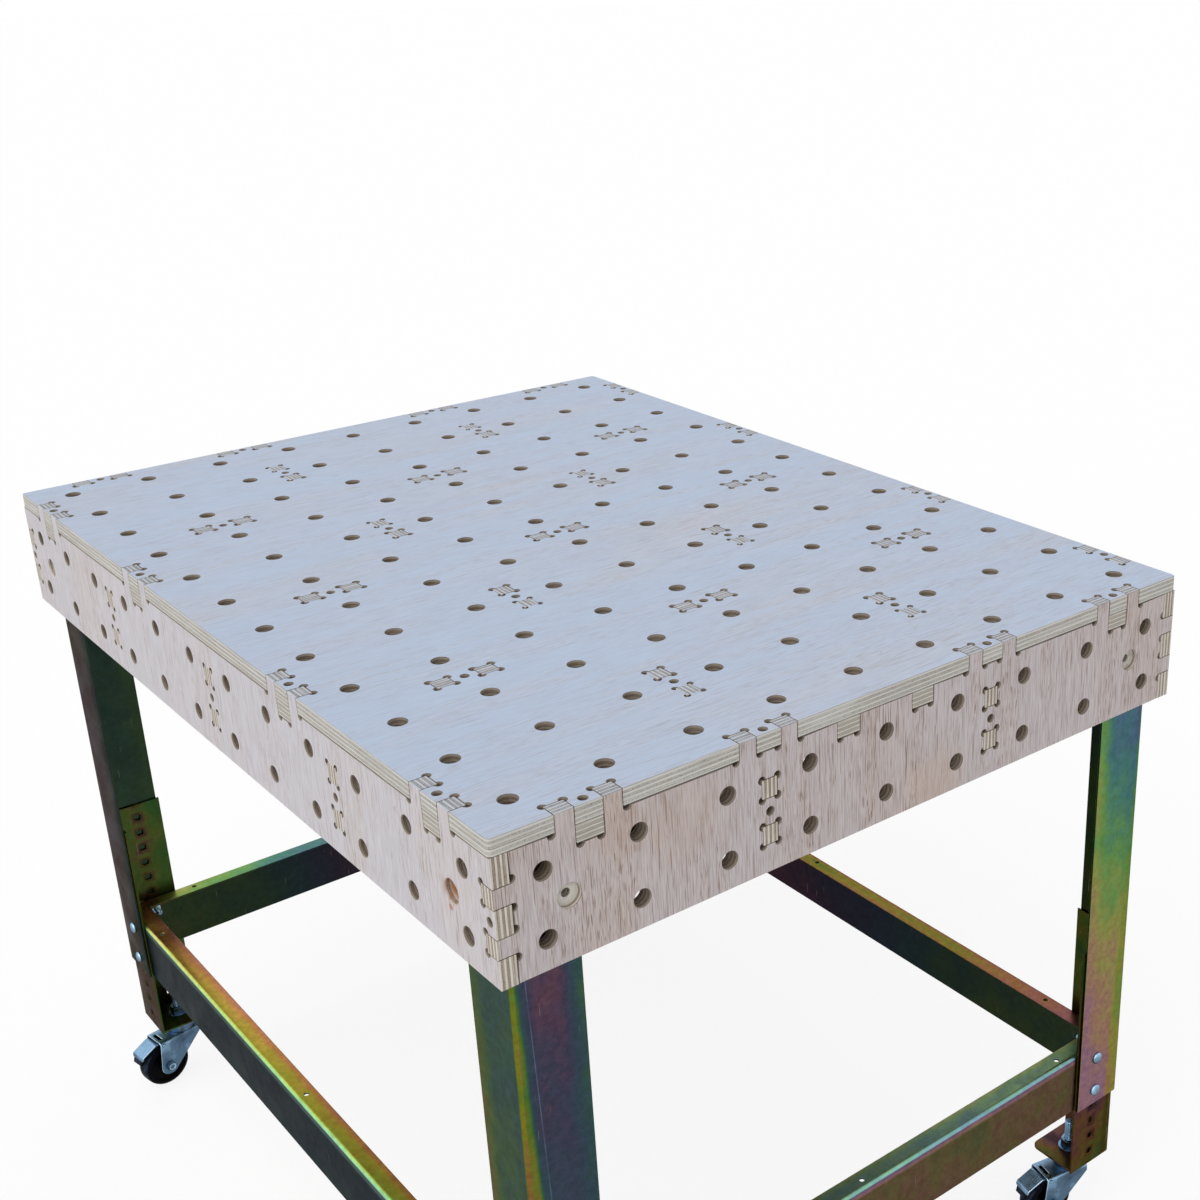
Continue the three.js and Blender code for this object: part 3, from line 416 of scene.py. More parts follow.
# Interference colours of the passivated film, in the order in which they follow one another
FILM = [(0, (152, 98, 112)), (0.11, (164, 112, 84)), (0.23, (150, 140, 58)),
        (0.37, (98, 140, 62)), (0.51, (62, 114, 102)), (0.64, (66, 96, 118)),
        (0.78, (86, 80, 116)), (0.9, (124, 80, 112)), (1, (152, 98, 112))]
PLAIN_GREY = (108, 114, 110)


def region(along, across, tint, fold, middle, free, reach=0.5, edge=0.5):
    """A face's film: its places in FILM near the fold, in the middle and at the free edge, each in
    steps along the piece, its tint, and its share of plain grey, which is the tint's last number.
    The tint also paints the face's light and shade.
    The fold's row fades out by reach and the free edge's begins at edge, as shares of the face."""
    *colour, grey = tint
    near, half, far = (along.levels(row) for row in (fold, middle, free))
    place = across.step(edge, 1).choose(across.step(0, reach).choose(near, half), far)
    return place, srgb(*colour), (grey, grey, grey, 1)


def blend(share, first, second):
    """One film or another, each with its place, tint and grey."""
    return tuple(share.choose(one, other) for one, other in zip(first, second))


def lay_film(shader, film, mottle, shift=0.0):
    """Colours a metal by its film, with clouds, blotches, specks and a few light scratches."""
    place, tint, grey = film
    clouds = shader.place.noise(18, 5, 0.6, 0.3)
    blotches = shader.place.noise(110, 4, 0.7)
    specks = shader.place.noise(1100, 2, 0.8)
    place = (clouds - 0.5) * (mottle * 6) + (blotches - 0.5) * (mottle * 2) + place + shift
    colour = (place + 1.0).math("FRACT").ramp(FILM)
    colour = grey.choose(colour, PLAIN_GREY).times(tint)
    colour = colour.times((blotches + specks * 0.6).step(0.55, 1.05, 0.8, 1.15))
    scratch = shader.stretched((900, 900, 26), (0.25, 0.35, 0.6)).noise(1, 1)
    shader.set("Base Color", scratch.step(0.76, 0.82, 0, 0.3).choose(colour, (180, 186, 170)))
    shader.set("Roughness", clouds.step(0.3, 0.7, 0.3, 0.46))
    shader.set("Specular Tint", (0.45, 0.45, 0.45, 1))
    shader.bump(blotches + specks, mm(0.03), 0.25)


def angle_skin(name, low, high, regions, mottle=0.07, halo=None, scored=False):
    """The film on a standing angle. Regions are named by the way that they face: front for Y, side
    for X, and out or in. A halo is the height of the lowest of a row of holes: around each hole
    the film turns purple-brown, darker brown to either side, and the walls get a painted
    highlight. A scored angle has a slanting scratch on its front where the others have a die line."""
    shader = Shader(name, metallic=1.0)
    *spot, z = shader.place.split()
    *away, up = shader.normal.split()
    inset = [half - LEG_OFFSET - abs(value) for half, value in zip(HALVES.values(), spot)]
    facing = [abs(value) for value in away]
    outward = [value * place.math("SIGN") for value, place in zip(away, spot)]
    sideways = facing[0].step(0.4, 0.75)
    inward = (outward[0] + outward[1]).step(0.1, -0.1)
    span = sideways.choose(*inset)
    across = span / LEG_FLANGE
    along = shader.node("MapRange", {"Value": z, "From Min": low, "From Max": high})
    faces = {key: region(along, across, *spec, 0.36, 0.62) for key, spec in regions.items()}
    outer, inner = (blend(sideways, faces[f"front_{way}"], faces[f"side_{way}"])
                    for way in ("out", "in"))
    film = blend(inward, outer, inner)
    # The bend's film is a painted highlight along the fold; glow widens it onto the outer front
    # face, more so lower down
    bend_highlight = (facing[0] * facing[1]).step(0.04, 0.35) * across.step(0.16, 0.1)
    widened = sideways.choose(along * 0.3 + across, across + 0.3)
    glow = widened.step(0.36, 0.27) * inward.step(1, 0, 0, 0.7)
    film = blend(bend_highlight.larger(glow), film, faces["bend_highlight"])
    if "level" in faces:
        film = blend(abs(up).step(0.5, 0.8), film, faces["level"])
    worn = shader.stretched((300, 300, 40)).noise()
    if scored:
        line = abs(span - (along * mm(-21.4) + mm(32.7))).step(mm(0.8), mm(0.3))
        line = line * (1 - sideways) * worn.step(0.35, 0.65, 0.3, 1)
    else:
        line = abs(span - mm(10)).step(mm(0.8), mm(0.3)) * worn.step(0.35, 0.65, 0, 0.6)
    place, tint, grey = film
    tint = line.choose(tint, (1, 1, 1, 1))
    shift = 0.0
    if halo is not None:
        row = ((z - (halo - HOLE_PITCH / 2)) / HOLE_PITCH).math("FRACT")
        above, over = abs(row - 0.5), abs(span - BOLT_INSET)
        shift = over.step(mm(15), mm(6)) * above.step(0.5, 0.3, 0.35, 1) * -0.13
        # Darker brown to either side of each hole
        dark_beside_hole = (worn * mm(6) + over).step(mm(14), mm(6)) * above.step(0.42, 0.16)
        # The hole walls get a painted highlight in pale gold, where light falls into the holes
        wall_highlight = over.step(mm(4.9), mm(4.5)) * above.step(0.193, 0.177)
        tint = wall_highlight.choose((dark_beside_hole * 0.62).choose(tint, (58, 42, 30)), (250, 214, 130))
    lay_film(shader, (place, tint, grey), mottle, shift)
    return shader.material


def stretcher_skin(name, run, side_face, regions, mottle):
    """The film on a stretcher that runs along an axis: web, flange and a painted highlight along
    the fold. side_face is the web's distance from the table's middle."""
    shader = Shader(name, metallic=1.0)
    spot, away = (dict(zip("xyz", value.split())) for value in (shader.place, shader.normal))
    across, up = spot[OTHER[run]], away["z"]
    half = HALVES[run]
    along = shader.node("MapRange", {"Value": spot[run], "From Min": -half, "From Max": half})
    drop = (WEB_TOP - spot["z"]) / STRETCHER_WEB
    inset = (side_face - abs(across)) / STRETCHER_FLANGE
    web_out, web_in = (region(along, drop, *regions[key], 0.16) for key in ("web_out", "web_in"))
    flange, bend_highlight = (region(along, inset, *regions[key]) for key in ("flange", "bend_highlight"))
    outward = away[OTHER[run]] * across.math("SIGN")
    film = blend(outward.step(0.1, -0.1), web_out, web_in)
    film = blend(abs(up).step(0.4, 0.85), film, flange)
    # fold masks the painted highlight along the bend, with a faint spread where web and flange
    # meet it
    fold = up.step(0.1, 0.35) * up.step(0.97, 0.75) * inset.step(0.2, 0.13)
    fold = fold.larger(inset.larger(drop).step(0.16, 0.1, 0, 0.2))
    lay_film(shader, blend(fold, film, bend_highlight), mottle)
    return shader.material


def zinc(name, up, side, down, roughness=0.3):
    """Bright zinc with a painted sky reflection and painted shade: lighter and bluer where it
    faces up, darker where it faces down, with faint clouds and handling marks."""
    shader = Shader(name, metallic=1.0)
    clouds = shader.place.noise(90, 4, 0.6, 0.4)
    broad = shader.stretched((34, 34, 20), (0.4, 0.9, 0.2)).noise(1, 2, 0.5, 0.5)
    grain = shader.stretched((420, 420, 1600)).noise(1, 2, 0.6)
    # height is painted light: the normal's up share, with clouds, picks the lit, side or shaded
    # colour
    height = (clouds - 0.5) * 0.6 + (broad - 0.5) * 2.2 + shader.normal.split()[2]
    colour = height.step(-0.9, 0.9).ramp([(0, down), (0.45, side), (0.62, side), (1, up)])
    shader.set("Base Color", grain.step(0.42, 0.8, 0, 0.3).choose(colour, down))
    shader.set("Roughness", clouds.step(0.3, 0.7, roughness - 0.06, roughness + 0.12))
    shader.set("Specular Tint", (0.6, 0.6, 0.6, 1))
    shader.bump(grain, mm(0.03), 0.3)
    return shader.material


def rubber(name, base, dust_and_sheen_colour, roughness, coverage):
    """Black rubber or nylon, lighter and bluer where it doesn't face sideways: partly dust, partly
    a painted sheen.
    """
    shader = Shader(name)
    clouds = shader.place.noise(70, 4, 0.6)
    grain = shader.place.noise(900, 2, 0.6)
    sideways = abs(shader.normal.split()[1])
    # Partly dust and partly a painted sheen on the tread
    dust_and_sheen = clouds.step(0.4, 0.7, 0, coverage) * sideways.step(0.8, 0.3)
    shader.set("Base Color", dust_and_sheen.choose(base, dust_and_sheen_colour))
    shader.set("Specular IOR Level", 0.03)
    shader.set("Roughness", clouds.step(0.3, 0.7, roughness - 0.1, roughness + 0.1))
    shader.bump(grain, mm(0.06), 0.4)
    return shader.material


# Geometry helpers

@contextmanager
def shaping(mesh):
    """Opens a mesh for changes, and closes it with its faces turned outwards."""
    shaped = bmesh.new()
    shaped.from_mesh(mesh)
    yield shaped
    bmesh.ops.recalc_face_normals(shaped, faces=shaped.faces)
    shaped.to_mesh(mesh)
    shaped.free()


def smoothed(mesh, degrees=30):
    mesh.shade_smooth()
    mesh.set_sharp_from_angle(angle=math.radians(degrees))
    return mesh


def moved(mesh, matrix):
    mesh.transform(matrix)
    return mesh


def merged(name, meshes):
    """Several meshes as one, each with the material indices that it has."""
    joined = bmesh.new()
    for mesh in meshes:
        joined.from_mesh(mesh)
        bpy.data.meshes.remove(mesh)
    result = bpy.data.meshes.new(name)
    joined.to_mesh(result)
    joined.free()
    return result


def linked(name, data):
    made = bpy.data.objects.new(name, data)
    bpy.context.scene.collection.objects.link(made)
    return made


def as_shown(piece):
    return bpy.data.meshes.new_from_object(
        piece.evaluated_get(bpy.context.evaluated_depsgraph_get()))


def pointing(direction, place):
    """A matrix that turns +Z to a direction and moves to a place."""
    turn = Vector(direction).to_track_quat("Z", "Y").to_matrix().to_4x4()
    return Matrix.Translation(place) @ turn


def arc(centre, radius, start, sweep, steps):
    """Points along an arc, both ends included."""
    angles = [start + sweep * index / steps for index in range(steps + 1)]
    return [Vector((centre[0] + radius * math.cos(a), centre[1] + radius * math.sin(a)))
            for a in angles]


def circle(x, y, diameter, steps=28):
    return arc((x, y), diameter / 2, 0, 2 * math.pi, steps)[:-1]


def pilot(x, y):
    return circle(x, y, PILOT_DIAMETER, SMALL_ROUND)


def rounded(x, y, width, radius):
    """A square hole with small round corners."""
    half = width / 2 - radius
    points = []
    for quarter, (across, up) in enumerate([(1, 1), (-1, 1), (-1, -1), (1, -1)]):
        points += arc((x + across * half, y + up * half), radius, quarter * QUARTER, QUARTER, 4)
    return points


# The ways in which an outline's corner can be relieved by the cutter, and the four corners of a
# tab or notch
NO_RELIEF, AT_CORNER, ON_EDGE_BEFORE, ON_EDGE_AFTER = range(4)
TAB = (ON_EDGE_BEFORE, NO_RELIEF, NO_RELIEF, ON_EDGE_AFTER)
SOCKET = (NO_RELIEF, AT_CORNER, AT_CORNER, NO_RELIEF)
SADDLE = (NO_RELIEF, ON_EDGE_AFTER, ON_EDGE_BEFORE, NO_RELIEF)
PLAIN = (NO_RELIEF,) * 4


def relieved(outline):
    """The outline's points, with the cutter's round wherever a corner asks for one. The board lies
    to the left of the way along the outline."""
    points = []
    for index, (place, kind) in enumerate(outline):
        corner = Vector(place)
        if kind == NO_RELIEF:
            points.append(corner)
            continue
        back = (Vector(outline[index - 1][0]) - corner).normalized()
        ahead = (Vector(outline[(index + 1) % len(outline)][0]) - corner).normalized()
        start = math.atan2(back.y, back.x)
        if kind == AT_CORNER:
            points += arc(corner, CUTTER_RADIUS, start, -3 * QUARTER, 12)
        elif kind == ON_EDGE_BEFORE:
            centre = corner + back * CUTTER_RADIUS - ahead * CUTTER_SINK
            points += arc(centre, CUTTER_RADIUS, start, -math.pi, 8)
        else:
            centre = corner + ahead * CUTTER_RADIUS - back * CUTTER_SINK
            points += arc(centre, CUTTER_RADIUS, start - QUARTER, -math.pi, 8)
    return points


def mortise(x, y, width, height):
    """A rectangular hole with the cutter's round on each corner."""
    corners = [(x + across * width / 2, y + up * height / 2)
               for across, up in ((-1, -1), (-1, 1), (1, 1), (1, -1))]
    return relieved([(corner, AT_CORNER) for corner in corners])


def row(middles, width, out, relief):
    """Tabs or notches on an edge: middle, width, reach outwards and the relief of the corners."""
    return [(at, width, out, relief) for at in middles]


def tabbed_outline(low, high, edges, corner_radius=0):
    """A rectangle with tabs and notches on its edges, anticlockwise from its lower left corner."""
    sides = [
        ("bottom", 1, lambda along, out: (along, low[1] - out), (high[0], low[1]), (-1, 1)),
        ("right", 1, lambda along, out: (high[0] + out, along), (high[0], high[1]), (-1, -1)),
        ("top", -1, lambda along, out: (along, high[1] + out), (low[0], high[1]), (1, -1)),
        ("left", -1, lambda along, out: (low[0] - out, along), (low[0], low[1]), (1, 1)),
    ]
    outline = []
    for index, (side, order, place, end, inward) in enumerate(sides):
        for at, width, out, relief in sorted(edges.get(side, []), key=lambda tab: order * tab[0]):
            first, last = at - order * width / 2, at + order * width / 2
            four = [place(first, 0), place(first, out), place(last, out), place(last, 0)]
            outline += list(zip(four, relief))
        if corner_radius:
            centre = [at + way * corner_radius for at, way in zip(end, inward)]
            round_end = arc(centre, corner_radius, (index - 1) * QUARTER, QUARTER, 8)
            outline += [(tuple(point), NO_RELIEF) for point in round_end]
        else:
            outline.append((end, NO_RELIEF))
    return relieved(without_meeting_points(outline))


def without_meeting_points(outline):
    """Drops both points where one feature ends exactly where the next begins."""
    kept = []
    for place, kind in outline:
        if kept and (Vector(place) - Vector(kept[-1][0])).length < 10 * WELD:
            kept.pop()
        else:
            kept.append((place, kind))
    return kept


def flat_board(name, outline, holes, thickness, chamfer):
    """A flat board with holes and chamfered edges, middle plane at z zero."""
    curve = bpy.data.curves.new(name, "CURVE")
    curve.dimensions = "2D"
    curve.fill_mode = "BOTH"
    for points in [outline, *holes]:
        spline = curve.splines.new("POLY")
        spline.points.add(len(points) - 1)
        spline.points.foreach_set("co", [value for x, y in points for value in (x, y, 0, 1)])
        spline.use_cyclic_u = True
    curve.extrude = thickness / 2 - chamfer
    curve.bevel_depth = chamfer
    curve.bevel_resolution = 0
    curve.offset = -chamfer
    drawn = linked(name, curve)
    mesh = as_shown(drawn)
    bpy.data.objects.remove(drawn)
    bpy.data.curves.remove(curve)
    with shaping(mesh) as welded:
        bmesh.ops.remove_doubles(welded, verts=welded.verts, dist=WELD)
        bmesh.ops.dissolve_degenerate(welded, edges=welded.edges, dist=WELD)
    mesh.name = name
    return mesh


def rim_marked(sheet):
    """Gives the chamfered rims of a flat sheet the second material, a painted highlight along
    them.
    """
    for polygon in sheet.polygons:
        if 0.2 < abs(polygon.normal.z) < 0.9:
            polygon.material_index = 1


def fold(mesh, bends, inner, thickness, start, heading, place, mirrored=False):
    """Folds a flat sheet. Its x runs along the section, which starts at x zero from a point and
    heading in the section's plane, and its y runs along the folds. bends lists (x, turn) in order.
    place turns (section point, y) into a place. A mirrored sheet repeats the section for x below
    zero."""
    middle = inner + thickness / 2
    steps = 6

    def ahead(angle):
        return Vector((math.cos(angle), math.sin(angle)))

    def left(angle):
        return Vector((-math.sin(angle), math.cos(angle)))

    with shaping(mesh) as sheet:
        lines = [at + abs(turn) * middle * index / steps
                 for at, turn in bends for index in range(steps + 1)]
        for line in lines:
            for side in (1, -1) if mirrored else (1,):
                geometry = [*sheet.verts, *sheet.edges, *sheet.faces]
                bmesh.ops.bisect_plane(sheet, geom=geometry, dist=WELD / 2,
                                       plane_co=(side * line, 0, 0), plane_no=(1, 0, 0))
        for vertex in sheet.verts:
            along = abs(vertex.co.x) if mirrored else vertex.co.x
            point, angle, walked = Vector(start), heading, 0
            for at, turn in bends:
                if along <= at:
                    break
                point += ahead(angle) * (at - walked)
                length = abs(turn) * middle
                side = math.copysign(middle, turn)
                centre = point + left(angle) * side
                angle += turn * min(1, (along - at) / length)
                point = centre - left(angle) * side
                walked = min(along, at + length)
            point += ahead(angle) * (along - walked) + left(angle) * vertex.co.z
            if mirrored and vertex.co.x < 0:
                point.x = -point.x
            vertex.co = place(point, vertex.co.y)
    return smoothed(mesh, 35)


def lathe(name, profile, steps=48):
    """A solid of revolution about z from (radius, height) pairs that start and end on the axis, or
    close on themselves."""
    mesh = bpy.data.meshes.new(name)
    with shaping(mesh) as turned:
        rings = []
        for radius, height in profile:
            points = circle(0, 0, 2 * radius, steps) if radius >= WELD else [Vector((0, 0))]
            rings.append([turned.verts.new((p.x, p.y, height)) for p in points])
        for low, high in zip(rings, rings[1:]):
            for index in range(steps):
                after = (index + 1) % steps
                corners = [low[index % len(low)], low[after % len(low)],
                           high[after % len(high)], high[index % len(high)]]
                distinct = list(dict.fromkeys(corners))
                if len(distinct) > 2:
                    turned.faces.new(distinct)
        bmesh.ops.remove_doubles(turned, verts=turned.verts, dist=WELD)
    return smoothed(mesh)


def softened(profile, radius, steps=3):
    """A profile with its inner corners cut to small rounds."""
    points = [Vector(profile[0])]
    for before, corner, after in zip(profile, profile[1:], profile[2:]):
        corner = Vector(corner)
        back, ahead = Vector(before) - corner, Vector(after) - corner
        size = min(radius, back.length * 0.45, ahead.length * 0.45)
        start, end = corner + back.normalized() * size, corner + ahead.normalized() * size
        for index in range(steps + 1):
            share = index / steps
            points.append(start.lerp(corner, share).lerp(corner.lerp(end, share), share))
    return [tuple(point) for point in (*points, Vector(profile[-1]))]


def disc(name, radius, low, high, soft=0):
    """A round plate about z."""
    profile = [(0, low), (radius, low), (radius, high), (0, high)]
    return lathe(name, softened(profile, soft) if soft else profile)


def hexagon(name, flats, low, high, bore=0, steps=48):
    """A hex nut or head along z whose corners are turned down on top and below."""
    apothem = flats / 2
    slope = math.tan(math.radians(28))
    sixth = math.pi / 3
    mesh = bpy.data.meshes.new(name)
    with shaping(mesh) as shaped:
        rings = [[] for _ in range(5 if bore else 4)]
        for index in range(steps):
            angle = 2 * math.pi * index / steps
            radius = apothem / math.cos((angle + sixth / 2) % sixth - sixth / 2)
            drop = max(0, radius - apothem * 0.99) * slope
            flat = apothem * 0.97
            for ring, (reach, height) in zip(rings, [
                    (flat, low), (radius, low + drop), (radius, high - drop), (flat, high),
                    (bore / 2, high)]):
                place = (reach * math.cos(angle), reach * math.sin(angle), height)
                ring.append(shaped.verts.new(place))
        if bore:
            rings.append([shaped.verts.new((*vertex.co.xy, low)) for vertex in rings[-1]])
            rings.append(rings[0])
        for below, above in zip(rings, rings[1:]):
            for index in range(steps):
                after = (index + 1) % steps
                shaped.faces.new([below[index], below[after], above[after], above[index]])
        if not bore:
            shaped.faces.new(rings[0])
            shaped.faces.new(rings[-1])
    return smoothed(mesh, 20)


def thread(radius, low, high):
    """The profile of a threaded length, from low to high, crests at radius."""
    count = max(1, round((high - low) / THREAD_PITCH))
    pitch = (high - low) / count
    root = radius - THREAD_DEPTH
    points = []
    for turn in range(count):
        base = low + turn * pitch
        points += [(root, base), (radius, base + pitch * 0.4), (radius, base + pitch * 0.6)]
    return [*points, (root, high)]


def show(name, mesh, materials, body, node, slot, place=Matrix()):
    """Adds a piece that stands for a node and rides on its body."""
    piece = linked(name, mesh)
    piece.matrix_world = place
    if not mesh.materials:
        for material in materials:
            mesh.materials.append(material)
    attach(piece, body)
    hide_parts(node)
    return piece


# The box

PLANES = {
    "flat": Matrix(),
    "x": Matrix(((1, 0, 0, 0), (0, 0, -1, 0), (0, 1, 0, 0), (0, 0, 0, 1))),
    "y": Matrix(((0, 0, 1, 0), (1, 0, 0, 0), (0, 1, 0, 0), (0, 0, 0, 1))),
}


def in_plan(run, along, across):
    """A place in plan for a piece that runs along x or y."""
    return (along, across) if run == "x" else (across, along)


def places(shares):
    return [share * DOG_PITCH for share in shares]


def dog_places(run):
    count = DOG_COUNTS[run]
    return [(index - (count - 1) / 2) * DOG_PITCH for index in range(count)]


def pairs(middles):
    return [middle + side * TENON_SPACING / 2 for middle in middles for side in (-1, 1)]


FINGERS = pairs([SIDE_MIDDLE])


def board(node, plane, middle, outline, holes, woods, slot, thickness=PLY):
    """A plywood board. woods are its veneer, its open edges, the walls of its holes and notches,
    darker as char and painted shade, and the tops of its tabs."""
    mesh = flat_board(f"{node}_board", outline, holes, thickness, BOARD_CHAMFER)
    low, high = ([pick(point[axis] for point in outline) for axis in (0, 1)]
                 for pick in (min, max))
    for polygon in mesh.polygons:
        x, y, _ = polygon.center
        if abs(polygon.normal.z) > 0.9:
            polygon.material_index = 0
        elif min(x - low[0], high[0] - x, y - low[1], high[1] - y) > mm(2):
            polygon.material_index = 2
        elif plane != "flat" and polygon.normal.y > 0.5 and y > TABLE_TOP - mm(2):
            polygon.material_index = 3
        else:
            polygon.material_index = 1
    materials = [wood.material for wood in woods]
    place = PLANES[plane] @ Matrix.Translation((0, 0, -middle if plane == "x" else middle))
    return show(f"{node}_board", smoothed(mesh), materials, "table", node, slot, place)


def add_top_skin(woods):
    edge_rows = {run: row(pairs(places(TAB_SHARES[run])), SOCKET_WIDTH, -INNER, SOCKET)
                 for run in HALVES}
    edges = {"bottom": edge_rows["x"], "top": edge_rows["x"],
             "left": edge_rows["y"], "right": edge_rows["y"]}
    outline = tabbed_outline((-HALF_WIDTH, -HALF_LENGTH), (HALF_WIDTH, HALF_LENGTH), edges,
                             SKIN_CORNER_RADIUS)
    holes = [circle(x, y, DOG_DIAMETER) for x in dog_places("x") for y in dog_places("y")]
    for run in ("y", "x"):
        size = in_plan(run, SOCKET_WIDTH, SLOT_WIDTH)
        tenons = places(TENON_SHARES[run])
        for across in places(RIBS[OTHER[run]].values()):
            holes += [mortise(*in_plan(run, along, across), *size) for along in pairs(tenons)]
            holes += [pilot(*in_plan(run, along, across)) for along in tenons]
        for side in (-1, 1):
            across = side * (HALVES[OTHER[run]] - PLY / 2)
            holes += [pilot(*in_plan(run, along, across)) for along in places(TAB_SHARES[run])]
    board("top_skin", "flat", (SKIN_BOTTOM + TABLE_TOP) / 2, outline, holes, woods,
          "top_plywood")


def add_panel(node, run, side, woods):
    """A side of the box: those that run along x end in fingers, those along y in sockets."""
    half = HALVES[run] if run == "y" else HALVES[run] - INNER
    ends = (row(FINGERS, SOCKET_WIDTH, -INNER, SOCKET) if run == "y"
            else row(FINGERS, TENON_WIDTH, INNER, TAB))
    tabs = row(pairs(places(TAB_SHARES[run])), TENON_WIDTH, TAB_RISE, TAB)
    saddles = row(places(BATTENS[run].values()), SADDLE_WIDTH, -SADDLE_DEPTH, SADDLE)
    edges = {"right": ends, "left": ends, "top": tabs + saddles}
    outline = tabbed_outline((-half, BOX_BOTTOM), (half, PANEL_TOP), edges)
    holes = [circle(along, SIDE_MIDDLE + end * SIDE_ROW_SPACING / 2, DOG_DIAMETER)
             for along in dog_places(run) for end in (-1, 1)]
    for along in places(RIBS[run].values()):
        holes += [mortise(along, z, SLOT_WIDTH, SOCKET_WIDTH) for z in FINGERS]
        holes.append(pilot(along, SIDE_MIDDLE))
    if run == "y":
        holes += [pilot(end * (half - PLY / 2), SIDE_MIDDLE) for end in (-1, 1)]
    middle = side * (HALVES[OTHER[run]] - PLY / 2)
    piece = board(node, run, middle, outline, holes, woods, "side_plywood")
    bolts = [end * (HALVES[run] - COUNTERBORE_INSET) for end in (-1, 1)]
    sink_counterbores(piece, bolts, side if run == "y" else -side)


def sink_counterbores(piece, bolts, outward):
    """Cuts a wide shallow bore and a narrow through bore at each leg bolt, and gives them the
    second material. outward is the sign of the outer face along the board's own z."""
    floor, top = PLY / 2 - COUNTERBORE_DEPTH, PLY / 2 - BOARD_CHAMFER
    radius, beyond = COUNTERBORE_DIAMETER / 2, 2 * BOARD_CHAMFER
    profile = [(0, -PLY), (PILOT_DIAMETER / 2, -PLY), (PILOT_DIAMETER / 2, floor), (radius, floor),
               (radius, top), (radius + beyond, top + beyond), (0, top + beyond)]
    cutters = [moved(lathe("counterbore", profile),
                     pointing((0, 0, outward), (along, SIDE_MIDDLE, 0))) for along in bolts]
    cutter_mesh = merged("counterbores", cutters)
    for polygon in cutter_mesh.polygons:
        polygon.material_index = 1
    for material in piece.data.materials:
        cutter_mesh.materials.append(material)
    cutter = linked("cutter", cutter_mesh)
    cutter.matrix_world = piece.matrix_world
    boolean = piece.modifiers.new("cut", "BOOLEAN")
    boolean.operation = "DIFFERENCE"
    boolean.solver = "EXACT"
    boolean.object = cutter
    result = as_shown(piece)
    piece.modifiers.clear()
    piece.data = smoothed(result)
    bpy.data.objects.remove(cutter)


def add_rib(node, run, at, woods):
    """A rib with tenons up and at both ends, half-lapped from below where it runs along y."""
    half = HALVES[run] - INNER
    ends = row(FINGERS, TENON_WIDTH, INNER, TAB)
    top = row(pairs(places(TENON_SHARES[run])), TENON_WIDTH, TAB_RISE, TAB)
    top += row(places(BATTENS[run].values()), SADDLE_WIDTH, -SADDLE_DEPTH, PLAIN)
    lap_depth = (PANEL_TOP - BOX_BOTTOM + SEAT_GAP) / 2
    laps = row(places(RIBS[run].values()), SLOT_WIDTH, -lap_depth, SADDLE)
    edges = {"right": ends, "left": ends, "top": top, "bottom": []}
    edges["bottom" if run == "y" else "top"] += laps
    outline = tabbed_outline((-half, BOX_BOTTOM), (half, PANEL_TOP), edges)
    board(node, run, at, outline, [], woods, "side_plywood")


def add_batten(node, run, at, wood):
    """A flat batten: its outline is a side view, halved where the others cross it."""
    laps = row(places(BATTENS[run].values()), SADDLE_WIDTH, -INNER / 2, PLAIN)
    outline = tabbed_outline((-HALVES[run], BATTEN_BOTTOM), (HALVES[run], BATTEN_TOP),
                             {"bottom" if run == "y" else "top": laps})
    board(node, run, at, outline, [], [wood] * 4, "batten_wood", BATTEN_WIDTH)


